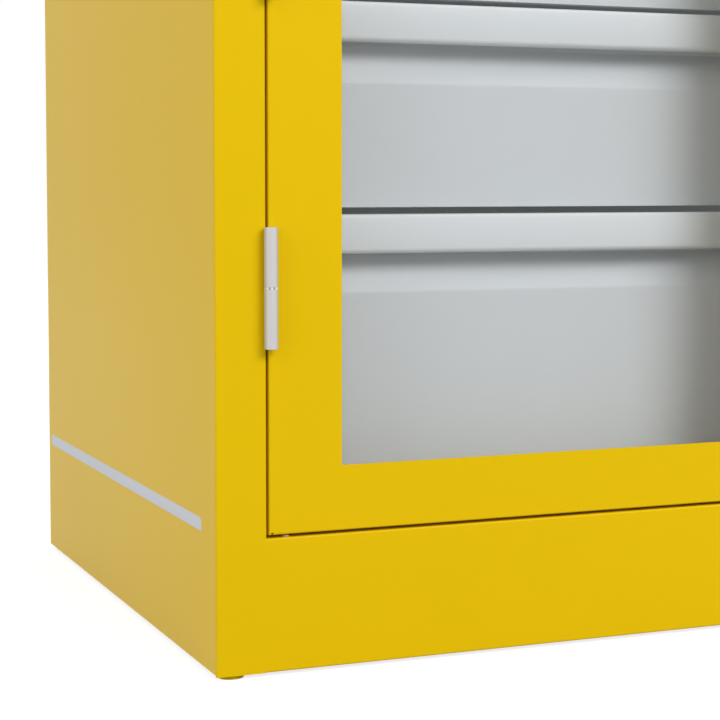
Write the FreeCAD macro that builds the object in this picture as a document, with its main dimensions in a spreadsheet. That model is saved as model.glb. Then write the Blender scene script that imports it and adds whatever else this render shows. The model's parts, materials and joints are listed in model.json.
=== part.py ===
"""Sheet-steel drawer cabinet behind one hinged window door.

The frame is +X right, +Y back, +Z up, and the feet stand on z = 0. Sizes are millimetres.
Places are counted from the front left corner of the body: along x from its left edge, back from
its front face, and up from its bottom edge.
"""
import FreeCAD, Part
import math
import os
import re
import Sketcher

SIZES = {
    # Body
    "body_width": 500,
    "body_depth": 500,
    "body_height": 700,
    "foot_drop": 3,
    "panel_sheet": 1.2,
    "bend_radius": 1,
    # Side panels and their folded front posts
    "post_width": 35.8,
    "post_return": 26,
    "rear_return": 20,
    "bottom_return": 8,
    "side_lift": 1,
    # Plinth, top rail and rear rail
    "front_sheet": 1.5,
    "plinth_height": 91.6,
    "plinth_shelf": 30,
    "plinth_lip": 12,
    "plinth_foot": 15,
    "rail_height": 36,
    "rail_return": 20,
    "rear_rail_low": 20,
    "rear_rail_inset": 12.5,
    "rear_rail_return": 20,
    "cap_lip": 14,
    "cap_lip_inset": 30,
    "back_panel_low": 4,
    "back_panel_drop": 0.5,
    "fit_gap": 0.2,
    # Bottom board
    "board_low": 93.6,
    "board_thickness": 9.3,
    "board_inset": 33.5,
    "board_rear_inset": 11,
    "board_round": 3.5,
    "slot_gap": 0.1,
    # Feet
    "foot_radius": 9.3,
    "foot_inset_x": 13.3,
    "foot_inset_y": 12,
    "foot_chamfer": 0.6,
    "stem_radius": 4,
    "stem_rise": 17,
    "stem_gap": 0.1,
    "gusset_thickness": 3,
    "gusset_reach": 34,
    "nut_height": 6.5,
    "nut_flats": 13,
    # Door
    "door_depth": 20,
    "door_sheet": 1.2,
    "door_gap": 1.7,
    "door_gap_low": 2.2,
    "stile_width": 52.7,
    "window_rail": 44.9,
    "liner_gap": 0.3,
    "liner_margin": 6,
    "seal_thickness": 1,
    "seal_overhang": 0.5,
    "pane_thickness": 4,
    "pane_lap": 12,
    # Door glides
    "glide_inset": 48.5,
    "glide_length": 6.4,
    "glide_depth": 10,
    "glide_setback": 3,
    "glide_gap": 0.4,
    # Hinges
    "hinge_inset": 37.6,
    "hinge_proud": 5,
    "hinge_radius": 4.7,
    "hinge_low": 220.3,
    "hinge_length": 81.4,
    "hinge_pin_radius": 2.5,
    "hinge_pin_gap": 0.1,
    "hinge_pin_cover": 6,
    "washer_radius": 3.8,
    "washer_thickness": 1.5,
    "flute_count": 8,
    "flute_radius": 0.8,
    "flute_depth": 0.35,
    "lug_near": 1.2,
    "lug_far": 4.2,
    # Drawers
    "drawer_inset": 92,
    "drawer_right_inset": 52,
    "drawer_low": 107,
    "drawer_extra": 56.5,
    "drawer_gap": 4.8,
    "drawer_setback": 62,
    "drawer_sheet": 1.2,
    "front_return": 12,
    "grip_setback": 50,
    "grip_height": 24,
    "grip_round": 3,
    "grip_lip": 7,
    "grip_bow": 90,
    "crease_drop": 56.5,
    "crease_top_drop": 30.2,
    "crease_lean": 9,
    "grip_leg": 26,
    "box_back": 470,
    "box_side_drop": 62,
    # Runners and the panels that carry them
    "runner_width": 12.7,
    "runner_height": 45,
    "runner_sheet": 1.2,
    "runner_length": 400,
    "runner_setback": 76,
    "runner_lift": 34,
    "runner_race": 1.8,
    "runner_gap": 0.3,
    "runner_web_gap": 2.8,
    "runner_flange": 8,
    "carrier_inset": 1,
    "carrier_setback": 76,
    "carrier_rear": 480,
    "carrier_drop": 45,
    "carrier_foot": 18,
    "fascia_height": 41.5,
    "fascia_return": 40,
    # Pull handle
    "handle_drop": 52,
    "handle_span": 128,
    "handle_reach": 32,
    "handle_thick": 10,
    "handle_wide": 12,
    "screw_radius": 2,
    "screw_head": 4,
    "screw_head_height": 2.2,
    "screw_length": 10,
    # Cam lock, keeper and magnet catch
    "lock_drop": 38,
    "lock_flange_radius": 11,
    "lock_flange": 2.5,
    "lock_barrel_radius": 8,
    "lock_bore_radius": 6.2,
    "lock_gap": 0.2,
    "lock_nut_height": 3,
    "lock_nut_flats": 19,
    "plug_proud": 0.4,
    "plug_gap": 0.1,
    "cam_thickness": 2,
    "cam_width": 12,
    "cam_reach": 34,
    "cam_gap": 0.4,
    "keyway_long": 7,
    "keyway_wide": 1.2,
    "keyway_deep": 5,
    "keeper_height": 30,
    "keeper_reach": 6.2,
    "catch_width": 14,
    "catch_depth": 18,
    "catch_height": 45,
    "catch_drop": 65,
    "strike_thickness": 1.5,
    "strike_height": 41,
    "strike_width": 12,
    "strike_gap": 0.3,
}

DRAWERS = (1, 2, 3)

# How near two places count as one
FLAT = 1e-5

doc = FreeCAD.newDocument("DrawerCabinet")
sheet = doc.addObject("Spreadsheet::Sheet", "Sizes")
for row, (word, size) in enumerate(SIZES.items(), start=1):
    sheet.set("A%d" % row, word)
    sheet.set("B%d" % row, str(size))
    sheet.setAlias("B%d" % row, word)
doc.recompute()

places = {}
parts = []


def refer(words):
    """Turn a sum of size and place words into an expression on the sheet."""
    def swap(found):
        word = found.group(0)
        return places.get(word, "Sizes." + word)
    return re.sub(r"[a-z][a-z_0-9]*", swap, words)


def place(word, words):
    """Give a place or a derived size a word of its own."""
    places[word] = "(" + refer(words) + ")"


def number(words):
    """Work out a sum of size and place words."""
    return sheet.evalExpression(refer(words))


# Places on the body, all in the part's own frame
place("left", "-body_width / 2")
place("right", "body_width / 2")
place("front", "(handle_reach - body_depth) / 2")
place("rear", "front + body_depth")
place("base", "foot_drop")
place("top", "base + body_height")
place("cap_low", "top - panel_sheet")
place("side_in", "left + panel_sheet")
place("post_in", "left + post_width")
place("post_far", "front + post_return")
place("plinth_top", "base + plinth_height")
place("rail_low", "top - rail_height")
place("board_bottom", "base + board_low")
place("board_top", "board_bottom + board_thickness")
place("board_near", "front + board_inset")
place("board_far", "rear - board_rear_inset")
place("back_inner", "rear - 2 * panel_sheet")

# Places on the door
place("door_left", "post_in + door_gap")
place("door_right", "-door_left")
place("door_low", "plinth_top + door_gap_low")
place("door_high", "rail_low - door_gap")
place("door_back", "front + door_depth")
place("door_middle", "(door_low + door_high) / 2")
place("window_left", "door_left + stile_width")
place("window_right", "-window_left")
place("window_low", "door_low + window_rail")
place("window_high", "door_high - window_rail")
place("seal_back", "front + door_sheet + seal_thickness")
place("pane_back", "seal_back + pane_thickness")
place("liner_front", "door_back - door_sheet")
place("handle_x", "door_right - stile_width / 2")
place("handle_z", "door_middle + handle_drop")
place("lock_z", "door_middle - lock_drop")

# Places of the hinges
place("hinge_x", "left + hinge_inset")
place("hinge_y", "front - hinge_proud")
place("hinge_z_lower", "base + hinge_low")
place("hinge_z_upper", "2 * door_middle - hinge_z_lower - hinge_length")
place("hinge_half", "(hinge_length - washer_thickness) / 2")

# Places of the drawers
place("drawer_left", "left + drawer_inset")
place("drawer_right", "right - drawer_right_inset")
place("carrier_face_left", "drawer_left + carrier_inset")
place("carrier_face_right", "drawer_right - carrier_inset")
place("box_left", "carrier_face_left + runner_width")
place("box_right", "carrier_face_right - runner_width")
place("drawer_face", "front + drawer_setback")
place("grip_face", "front + grip_setback")
place("box_near", "drawer_face + drawer_sheet")
place("box_far", "front + box_back")
place("carrier_top", "top - carrier_drop")
place("drawers_top", "carrier_top - fascia_height - drawer_gap")
place("drawer_z_1", "base + drawer_low")
place("drawer_pitch", "(drawers_top + drawer_gap - drawer_z_1 - drawer_extra) / %d" % len(DRAWERS))
place("drawer_h_1", "drawer_pitch - drawer_gap + drawer_extra")
for step in DRAWERS[1:]:
    place("drawer_z_%d" % step, "drawer_z_%d + drawer_h_%d + drawer_gap" % (step - 1, step - 1))
    place("drawer_h_%d" % step, "drawer_pitch - drawer_gap")

# Planes to draw on: role, sign of the plane's normal along its axis
PLANES = {"x": ("YZ_Plane", 1), "y": ("XZ_Plane", -1), "z": ("XY_Plane", 1)}


def body(label):
    """Start one sub-part as a body that is written to its own file."""
    made = doc.addObject("PartDesign::Body", label)
    made.Label = label
    parts.append(made)
    return made


def rectangle(low_u, high_u, low_v, high_v):
    """Four corners of a rectangle, as pairs of words."""
    return [(low_u, low_v), (high_u, low_v), (high_u, high_v), (low_u, high_v)]


def arc_between(start, end, radius):
    """The short arc from start to end; a positive radius bulges to the right of the way."""
    chord = end - start
    middle = (start + end) * 0.5
    height = math.sqrt(radius ** 2 - chord.Length ** 2 / 4)
    left = FreeCAD.Vector(-chord.y, chord.x, 0).normalize()
    centre = middle + left * math.copysign(height, radius)
    circle = Part.Circle(centre, FreeCAD.Vector(0, 0, 1), abs(radius))
    first, last = (start, end) if radius > 0 else (end, start)
    return Part.ArcOfCircle(circle, circle.parameter(first), circle.parameter(last))


def add_circle(sketch, centre_u, centre_v, radius):
    """Add a circle whose centre and radius follow the sheet."""
    centre = FreeCAD.Vector(number(centre_u), number(centre_v), 0)
    ring = sketch.addGeometry(Part.Circle(centre, FreeCAD.Vector(0, 0, 1), number(radius)), False)
    for kind, words, value in (("DistanceX", centre_u, centre.x), ("DistanceY", centre_v, centre.y)):
        held = sketch.addConstraint(Sketcher.Constraint(kind, ring, 3, value))
        sketch.setExpression("Constraints[%d]" % held, refer(words))
    held = sketch.addConstraint(Sketcher.Constraint("Radius", ring, number(radius)))
    sketch.setExpression("Constraints[%d]" % held, refer(radius))


def add_outline(sketch, points):
    """Add a closed outline; a point's third word is the radius of the arc that leaves it."""
    spots = [FreeCAD.Vector(number(point[0]), number(point[1]), 0) for point in points]
    edges = []
    for index, point in enumerate(points):
        start, end = spots[index], spots[(index + 1) % len(spots)]
        if len(point) == 2:
            edge = sketch.addGeometry(Part.LineSegment(start, end), False)
            edges.append((edge, 1, 2))
            continue
        radius = number(point[2])
        edge = sketch.addGeometry(arc_between(start, end, radius), False)
        edges.append((edge, 1, 2) if radius > 0 else (edge, 2, 1))
        held = sketch.addConstraint(Sketcher.Constraint("Radius", edge, abs(radius)))
        sketch.setExpression("Constraints[%d]" % held, "abs(%s)" % refer(point[2]))
    for index, (edge, first, last) in enumerate(edges):
        other, begin, _ = edges[(index + 1) % len(edges)]
        sketch.addConstraint(Sketcher.Constraint("Coincident", edge, last, other, begin))
        spot, words = spots[index], points[index]
        for kind, value, text in (("DistanceX", spot.x, words[0]), ("DistanceY", spot.y, words[1])):
            held = sketch.addConstraint(Sketcher.Constraint(kind, edge, first, value))
            sketch.setExpression("Constraints[%d]" % held, refer(text))


def draw(piece, axis, level, outlines):
    """Draw outlines on the plane of the body that is square to an axis, at a level along it."""
    role, sign = PLANES[axis]
    plane = [item for item in piece.Origin.OriginFeatures if item.Role == role][0]
    sketch = piece.newObject("Sketcher::SketchObject", piece.Name + "_outline")
    sketch.AttachmentSupport = [(plane, "")]
    sketch.MapMode = "FlatFace"
    sketch.setExpression("AttachmentOffset.Base.z", "%d * %s" % (sign, refer("(" + level + ")")))
    for outline in outlines:
        if isinstance(outline, tuple):
            add_circle(sketch, *outline)
        else:
            add_outline(sketch, outline)
    return sketch


def pad(piece, axis, low, high, *outlines):
    """Add the outlines, pulled out from low to high along an axis."""
    feature = piece.newObject("PartDesign::Pad", piece.Name + "_pad")
    feature.Profile = draw(piece, axis, high if axis == "y" else low, outlines)
    feature.setExpression("Length", refer("(%s) - (%s)" % (high, low)))
    return feature


def pocket(piece, axis, low, high, *outlines):
    """Cut the outlines out from low to high along an axis, and make sure that something went."""
    doc.recompute()
    before = piece.Shape.Volume
    feature = piece.newObject("PartDesign::Pocket", piece.Name + "_pocket")
    feature.Profile = draw(piece, axis, low if axis == "y" else high, outlines)
    feature.setExpression("Length", refer("(%s) - (%s)" % (high, low)))
    doc.recompute()
    if not piece.Shape.Volume < before:
        raise RuntimeError("a pocket of %s cuts nothing" % piece.Label)
    return feature


def turned(piece, outline):
    """Add an outline of radius and height, turned once about the body's own upright axis."""
    sketch = draw(piece, "y", "0", [outline])
    feature = piece.newObject("PartDesign::Revolution", piece.Name + "_turned")
    feature.Profile = sketch
    feature.ReferenceAxis = (sketch, ["V_Axis"])
    feature.Angle = 360
    return feature


def edges_along(shape, axis, *spots):
    """Names of the straight edges along an axis that pass through places across it."""
    index = "xyz".index(axis)
    names = []
    for count, edge in enumerate(shape.Edges, start=1):
        if not isinstance(edge.Curve, Part.Line) or abs(abs(edge.Curve.Direction[index]) - 1) > FLAT:
            continue
        across = [value for place_index, value in enumerate(edge.CenterOfMass) if place_index != index]
        for spot in spots:
            if all(abs(value - number(words)) < FLAT for value, words in zip(across, spot)):
                names.append("Edge%d" % count)
    return names


def round_edges(piece, radius, axis, *spots):
    """Round the straight edges along an axis at the given places across it."""
    doc.recompute()
    tip = piece.Tip
    names = edges_along(tip.Shape, axis, *spots)
    if not names:
        raise RuntimeError("no edge of %s to round" % piece.Label)
    feature = piece.newObject("PartDesign::Fillet", piece.Name + "_round")
    feature.Base = (tip, names)
    feature.setExpression("Radius", refer(radius))
    return feature


def box(name, low_x, high_x, low_y, high_y, low_z, high_z):
    """A plain block between two corners."""
    made = doc.addObject("Part::Box", name)
    made.setExpression("Length", refer("(%s) - (%s)" % (high_x, low_x)))
    made.setExpression("Width", refer("(%s) - (%s)" % (high_y, low_y)))
    made.setExpression("Height", refer("(%s) - (%s)" % (high_z, low_z)))
    for axis, words in zip("xyz", (low_x, low_y, low_z)):
        made.setExpression("Placement.Base." + axis, refer(words))
    return made


def rod(name, axis, radius, centre_x, centre_y, centre_z, length):
    """A round bar from a centre along +X, +Y or +Z."""
    turns = {
        "x": FreeCAD.Rotation(FreeCAD.Vector(0, 1, 0), 90),
        "y": FreeCAD.Rotation(FreeCAD.Vector(1, 0, 0), -90),
        "z": FreeCAD.Rotation(),
    }
    made = doc.addObject("Part::Cylinder", name)
    made.Placement = FreeCAD.Placement(FreeCAD.Vector(), turns[axis])
    made.setExpression("Radius", refer(radius))
    made.setExpression("Height", refer(length))
    for letter, words in zip("xyz", (centre_x, centre_y, centre_z)):
        made.setExpression("Placement.Base." + letter, refer(words))
    return made


def hexagon(name, axis, flats, centre_x, centre_y, centre_z, length):
    """A six-sided bar from a centre along +Y or +Z, by its width across the flats."""
    turns = {"y": FreeCAD.Rotation(FreeCAD.Vector(1, 0, 0), -90), "z": FreeCAD.Rotation()}
    made = doc.addObject("Part::Prism", name)
    made.Polygon = 6
    made.Placement = FreeCAD.Placement(FreeCAD.Vector(), turns[axis])
    made.setExpression("Circumradius", refer(flats + " / 2") + " / cos(30)")
    made.setExpression("Height", refer(length))
    for letter, words in zip("xyz", (centre_x, centre_y, centre_z)):
        made.setExpression("Placement.Base." + letter, refer(words))
    return made


def joined(label, *shapes):
    """Weld shapes into one sub-part."""
    made = doc.addObject("Part::MultiFuse", label)
    made.Shapes = list(shapes)
    made.Refine = True
    return made


def group(label, *shapes):
    """Hold alike pieces that stay apart as one sub-part."""
    made = doc.addObject("Part::Compound", label)
    made.Links = list(shapes)
    return keep(made, label)


def cut(label, base, *tools):
    """Take tools away from a base."""
    made = doc.addObject("Part::Cut", label)
    made.Base = base
    made.Tool = tools[0] if len(tools) == 1 else joined(label + "_tools", *tools)
    made.Refine = True
    return made


def keep(made, label):
    """Name an object as a sub-part that is written to its own file."""
    made.Label = label
    parts.append(made)
    return made


def mirrored(label, source):
    """The other-handed copy of a sub-part, across the middle of the body."""
    made = doc.addObject("Part::Mirroring", label)
    made.Source = source
    made.Normal = FreeCAD.Vector(1, 0, 0)
    return keep(made, label)


def side_panels():
    """Each side is one sheet: front post, outer face, rear return and bottom return."""
    piece = body("side_panel_left")
    inner = "front + panel_sheet"
    rear_inner = "rear - panel_sheet"
    pad(piece, "z", "base", "cap_low", [
        ("left", "front"),
        ("post_in", "front"),
        ("post_in", "post_far"),
        ("post_in - panel_sheet", "post_far"),
        ("post_in - panel_sheet", inner),
        ("side_in", inner),
        ("side_in", rear_inner),
        ("left + rear_return", rear_inner),
        ("left + rear_return", "rear"),
        ("left", "rear"),
    ])
    round_edges(piece, "bend_radius", "z", ("left", "front"), ("post_in", "front"), ("left", "rear"))
    pad(piece, "z", "base + side_lift", "base + side_lift + panel_sheet",
        rectangle("left", "left + bottom_return", inner, rear_inner))
    pocket(piece, "x", "left", "side_in",
           rectangle("board_near", "board_far", "board_bottom", "board_top + slot_gap"))
    pocket(piece, "z", "base", "base + side_lift",
           rectangle("left", "left + rear_return", "front + 2 * panel_sheet", "rear"))
    mirrored("side_panel_right", piece)


def plinth():
    """A folded channel between the posts, with a shelf on top and a foot return."""
    piece = body("plinth_panel")
    shelf_far = "front + plinth_shelf"
    pad(piece, "x", "post_in", "-post_in", [
        ("front", "base"),
        ("front + plinth_foot", "base"),
        ("front + plinth_foot", "base + front_sheet"),
        ("front + front_sheet", "base + front_sheet"),
        ("front + front_sheet", "plinth_top - front_sheet"),
        (shelf_far + " - front_sheet", "plinth_top - front_sheet"),
        (shelf_far + " - front_sheet", "plinth_top - plinth_lip"),
        (shelf_far, "plinth_top - plinth_lip"),
        (shelf_far, "plinth_top"),
        ("front", "plinth_top"),
    ])
    round_edges(piece, "bend_radius", "x",
                ("front", "base"), ("front", "plinth_top"), (shelf_far, "plinth_top"))


def top_rail():
    """The channel over the door, between the posts."""
    piece = body("top_rail")
    pad(piece, "x", "post_in", "-post_in", [
        ("front", "rail_low"),
        ("post_far", "rail_low"),
        ("post_far", "rail_low + front_sheet"),
        ("front + front_sheet", "rail_low + front_sheet"),
        ("front + front_sheet", "cap_low - front_sheet"),
        ("front + rail_return", "cap_low - front_sheet"),
        ("front + rail_return", "cap_low"),
        ("front", "cap_low"),
    ])
    round_edges(piece, "bend_radius", "x", ("front", "rail_low"))


def rear_rail():
    """The channel that carries the back of the bottom board."""
    piece = body("rear_rail")
    low = "base + rear_rail_low"
    far = "rear - rear_rail_inset"
    near = far + " - rear_rail_return"
    pad(piece, "x", "side_in", "-side_in", [
        (near, low),
        (far, low),
        (far, "board_bottom"),
        (near, "board_bottom"),
        (near, "board_bottom - front_sheet"),
        (far + " - front_sheet", "board_bottom - front_sheet"),
        (far + " - front_sheet", low + " + front_sheet"),
        (near, low + " + front_sheet"),
    ])
    round_edges(piece, "bend_radius", "x", (far, low), (far, "board_bottom"))


def top_panel():
    """The cap lies on both sides and the rails, with a lip inside each side."""
    piece = body("top_panel")
    pad(piece, "z", "cap_low", "top", rectangle("left", "right", "front", "rear"))
    lip = "side_in + fit_gap"
    near, far = "front + cap_lip_inset", "rear - cap_lip_inset"
    pad(piece, "z", "cap_low - cap_lip", "cap_low",
        rectangle(lip, lip + " + panel_sheet", near, far),
        rectangle("-(" + lip + " + panel_sheet)", "-(" + lip + ")", near, far))
    round_edges(piece, "bend_radius", "z", ("left", "front"), ("right", "front"),
                ("left", "rear"), ("right", "rear"))


def back_panel():
    """A flat sheet inside the rear returns of the sides."""
    piece = body("back_panel")
    pad(piece, "y", "back_inner", "rear - panel_sheet",
        rectangle("side_in + fit_gap", "-side_in - fit_gap",
                  "base + back_panel_low", "cap_low - back_panel_drop"))


def bottom_board():
    """A solid board that comes through both sides and ends flush with them."""
    piece = body("bottom_board")
    pad(piece, "x", "left", "right",
        rectangle("board_near", "board_far", "board_bottom", "board_top"))
    round_edges(piece, "board_round", "x", ("board_near", "board_top"))


def foot(label, sign_x, sign_y):
    """A levelling foot: a disc to stand on and a stem up through its gusset."""
    piece = body(label)
    stem_top = "base + stem_rise"
    turned(piece, [
        ("0", "0"),
        ("foot_radius - foot_chamfer", "0"),
        ("foot_radius", "foot_chamfer"),
        ("foot_radius", "base"),
        ("stem_radius", "base"),
        ("stem_radius", stem_top),
        ("0", stem_top),
    ])
    spot_x, spot_y = foot_spot(sign_x, sign_y)
    piece.setExpression("Placement.Base.x", refer(spot_x))
    piece.setExpression("Placement.Base.y", refer(spot_y))


def foot_spot(sign_x, sign_y):
    """Where a foot stands, as words."""
    spot_x = "%d * (body_width / 2 - foot_inset_x)" % sign_x
    spot_y = "front + foot_inset_y" if sign_y < 0 else "rear - foot_inset_y"
    return spot_x, spot_y


def feet():
    """Four feet, each with a gusset over it and a nut that locks it."""
    gussets, nuts = [], []
    under = "base + side_lift + panel_sheet"
    over = under + " + gusset_thickness"
    for name, sign_x, sign_y in (("front_left", -1, -1), ("front_right", 1, -1),
                                 ("rear_left", -1, 1), ("rear_right", 1, 1)):
        foot("foot_" + name, sign_x, sign_y)
        spot_x, spot_y = foot_spot(sign_x, sign_y)
        low_x, high_x = "side_in", "post_in - panel_sheet"
        if sign_x > 0:
            low_x, high_x = "-(post_in - panel_sheet)", "-side_in"
        low_y, high_y = "front + panel_sheet", "front + panel_sheet + gusset_reach"
        if sign_y > 0:
            low_y, high_y = "back_inner - gusset_reach", "back_inner"
        plate = box("gusset_plate_" + name, low_x, high_x, low_y, high_y, under, over)
        hole = rod("gusset_hole_" + name, "z", "stem_radius + stem_gap",
                   spot_x, spot_y, under, "gusset_thickness")
        gussets.append(cut("gusset_" + name, plate, hole))
        blank = hexagon("nut_blank_" + name, "z", "nut_flats", spot_x, spot_y, over, "nut_height")
        bore = rod("nut_bore_" + name, "z", "stem_radius + stem_gap", spot_x, spot_y, over, "nut_height")
        nuts.append(cut("nut_" + name, blank, bore))
    group("corner_gussets", *gussets)
    group("foot_nuts", *nuts)


def carrier(label, face, wall, sign):
    """A folded panel that stands off a side and carries one end of the runners."""
    piece = body(label)
    near, far = "front + carrier_setback", "front + carrier_rear"
    back = "%s - %d * panel_sheet" % (face, sign)
    lip = "%s + %d * panel_sheet" % (wall, sign)
    outline = [
        (wall, near),
        (face, near),
        (face, far),
        (wall, far),
        (wall, far + " - carrier_foot"),
        (lip, far + " - carrier_foot"),
        (lip, far + " - panel_sheet"),
        (back, far + " - panel_sheet"),
        (back, near + " + panel_sheet"),
        (lip, near + " + panel_sheet"),
        (lip, near + " + carrier_foot"),
        (wall, near + " + carrier_foot"),
    ]
    pad(piece, "z", "board_top", "carrier_top", outline)
    round_edges(piece, "bend_radius", "z", (face, near), (face, far))


def upper_fascia():
    """A fixed strip that closes the space over the top drawer."""
    piece = body("upper_fascia")
    low, high = "carrier_top - fascia_height", "carrier_top"
    far = "drawer_face + fascia_return"
    pad(piece, "x", "carrier_face_left", "carrier_face_right", [
        ("drawer_face", low),
        (far, low),
        (far, low + " + drawer_sheet"),
        ("drawer_face + drawer_sheet", low + " + drawer_sheet"),
        ("drawer_face + drawer_sheet", high + " - drawer_sheet"),
        (far, high + " - drawer_sheet"),
        (far, high),
        ("drawer_face", high),
    ])
    round_edges(piece, "bend_radius", "x", ("drawer_face", low), ("drawer_face", high))


def door_shell():
    """The outer tray of the door, open to the back, with the window cut out of its face."""
    piece = body("door_shell")
    pad(piece, "y", "front", "door_back", rectangle("door_left", "door_right", "door_low", "door_high"))
    pocket(piece, "y", "front + door_sheet", "door_back",
           rectangle("door_left + door_sheet", "door_right - door_sheet",
                     "door_low + door_sheet", "door_high - door_sheet"))
    pocket(piece, "y", "front", "front + door_sheet",
           rectangle("window_left", "window_right", "window_low", "window_high"))
    pocket(piece, "y", "front", "front + door_sheet",
           ("handle_x", "lock_z", "lock_barrel_radius + lock_gap"))
    pocket(piece, "y", "front", "front + door_sheet",
           ("handle_x", "handle_z + handle_span / 2", "screw_radius + lock_gap"),
           ("handle_x", "handle_z - handle_span / 2", "screw_radius + lock_gap"))
    round_edges(piece, "bend_radius", "z", ("door_left", "front"), ("door_right", "front"))
    round_edges(piece, "bend_radius", "x", ("front", "door_low"), ("front", "door_high"))


def door_liner():
    """The inner sheet of the door, with a collar that presses the pane against its seal."""
    piece = body("door_liner")
    inset = "door_sheet + liner_gap"
    outer = rectangle("door_left + " + inset, "door_right - (" + inset + ")",
                      "door_low + " + inset, "door_high - (" + inset + ")")
    collar_out = rectangle("window_left - liner_margin - door_sheet",
                           "window_right + liner_margin + door_sheet",
                           "window_low - liner_margin - door_sheet",
                           "window_high + liner_margin + door_sheet")
    collar_in = rectangle("window_left - liner_margin", "window_right + liner_margin",
                          "window_low - liner_margin", "window_high + liner_margin")
    pad(piece, "y", "liner_front", "door_back", outer, collar_in)
    pad(piece, "y", "pane_back", "liner_front", collar_out, collar_in)
    pocket(piece, "y", "liner_front", "door_back",
           ("handle_x", "lock_z", "lock_barrel_radius + lock_gap"))


def glazing():
    """The clear pane and the flat seal between it and the door's face."""
    pane = body("window_pane")
    pane_edge = rectangle("window_left - pane_lap", "window_right + pane_lap",
                          "window_low - pane_lap", "window_high + pane_lap")
    pad(pane, "y", "seal_back", "pane_back", pane_edge)
    seal = body("pane_seal")
    pad(seal, "y", "front + door_sheet", "seal_back", pane_edge,
        rectangle("window_left - seal_overhang", "window_right + seal_overhang",
                  "window_low - seal_overhang", "window_high + seal_overhang"))


def door_glides():
    """Two small pads on the plinth that the closing door runs on to."""
    glides = []
    near = "front + glide_setback"
    for name, low_x, high_x in (
            ("left", "left + glide_inset", "left + glide_inset + glide_length"),
            ("right", "right - glide_inset - glide_length", "right - glide_inset")):
        glides.append(box("glide_" + name, low_x, high_x, near, near + " + glide_depth",
                          "plinth_top", "door_low - glide_gap"))
    group("door_glides", *glides)


def knuckle(label, low, lug_low_x, lug_high_x):
    """One half of a hinge: a fluted barrel with a lug back to what carries it."""
    piece = body(label)
    pad(piece, "z", "0", "hinge_half", ("0", "0", "hinge_radius"))
    doc.recompute()
    groove = pocket(piece, "z", "0", "hinge_half",
                    ("hinge_radius + flute_radius - flute_depth", "0", "flute_radius"))
    doc.recompute()
    flutes = piece.newObject("PartDesign::PolarPattern", label + "_flutes")
    flutes.Originals = [groove]
    flutes.Axis = (groove.Profile[0], ["N_Axis"])
    flutes.Angle = 360
    flutes.setExpression("Occurrences", refer("flute_count"))
    piece.Tip = flutes
    doc.recompute()
    pad(piece, "z", "0", "hinge_half", rectangle(lug_low_x, lug_high_x, "0", "hinge_proud"))
    pocket(piece, "z", "0", "hinge_half", ("0", "0", "hinge_pin_radius + hinge_pin_gap"))
    for axis, words in zip("xyz", ("hinge_x", "hinge_y", low)):
        piece.setExpression("Placement.Base." + axis, refer(words))


def hinges():
    """Two hinges: the lower half on the post, the upper half on the door, a pin and a washer."""
    washers = []
    for name in ("lower", "upper"):
        low = "hinge_z_" + name
        knuckle("hinge_frame_" + name, low, "-lug_far", "-lug_near")
        knuckle("hinge_door_" + name, low + " + hinge_half + washer_thickness", "lug_near", "lug_far")
        pin = body("hinge_pin_" + name)
        pad(pin, "z", "hinge_pin_cover", "hinge_length - hinge_pin_cover",
            ("0", "0", "hinge_pin_radius"))
        for axis, words in zip("xyz", ("hinge_x", "hinge_y", low)):
            pin.setExpression("Placement.Base." + axis, refer(words))
        start = low + " + hinge_half"
        ring = rod("washer_ring_" + name, "z", "washer_radius",
                   "hinge_x", "hinge_y", start, "washer_thickness")
        bore = rod("washer_bore_" + name, "z", "hinge_pin_radius + hinge_pin_gap",
                   "hinge_x", "hinge_y", start, "washer_thickness")
        washers.append(cut("washer_" + name, ring, bore))
    group("hinge_washers", *washers)


def drawer_front(label, low, tall):
    """A folded front: foot return, face, crease and a leg that leans back behind the grip."""
    piece = body(label)
    back = "drawer_face + front_return"
    leg = "drawer_face + crease_lean"
    crease, crease_top = tall + " - crease_drop", tall + " - crease_top_drop"
    pad(piece, "x", "drawer_left", "drawer_right", [
        ("drawer_face", "0"),
        (back, "0"),
        (back, "drawer_sheet"),
        ("drawer_face + drawer_sheet", "drawer_sheet"),
        ("drawer_face + drawer_sheet", crease),
        (leg + " + drawer_sheet", crease_top),
        (leg + " + drawer_sheet", tall + " - drawer_sheet"),
        (leg, tall + " - drawer_sheet"),
        (leg, crease_top),
        ("drawer_face", crease),
    ])
    round_edges(piece, "bend_radius", "x", ("drawer_face", "0"))
    piece.setExpression("Placement.Base.z", refer(low))


def drawer_grip(label, low, tall):
    """The rolled grip: a leg on the front, a top, a bowed face and a lip under it."""
    piece = body(label)
    leg = "drawer_face + crease_lean"
    lip = tall + " - grip_height - grip_round"
    inner = "grip_face + drawer_sheet"
    pad(piece, "x", "drawer_left", "drawer_right", [
        ("grip_face", tall + " - grip_height", "-grip_bow"),
        ("grip_face", tall),
        (leg + " + drawer_sheet", tall),
        (leg + " + drawer_sheet", tall + " - drawer_sheet"),
        (leg, tall + " - drawer_sheet"),
        (leg, tall + " - grip_leg"),
        (leg + " - drawer_sheet", tall + " - grip_leg"),
        (leg + " - drawer_sheet", tall + " - drawer_sheet"),
        (inner, tall + " - drawer_sheet", "grip_bow - drawer_sheet"),
        (inner, tall + " - grip_height", "grip_round - drawer_sheet"),
        ("grip_face + grip_round", lip + " + drawer_sheet"),
        ("grip_face + grip_lip", lip + " + drawer_sheet"),
        ("grip_face + grip_lip", lip),
        ("grip_face + grip_round", lip, "-grip_round"),
    ])
    piece.setExpression("Placement.Base.z", refer(low))


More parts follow.
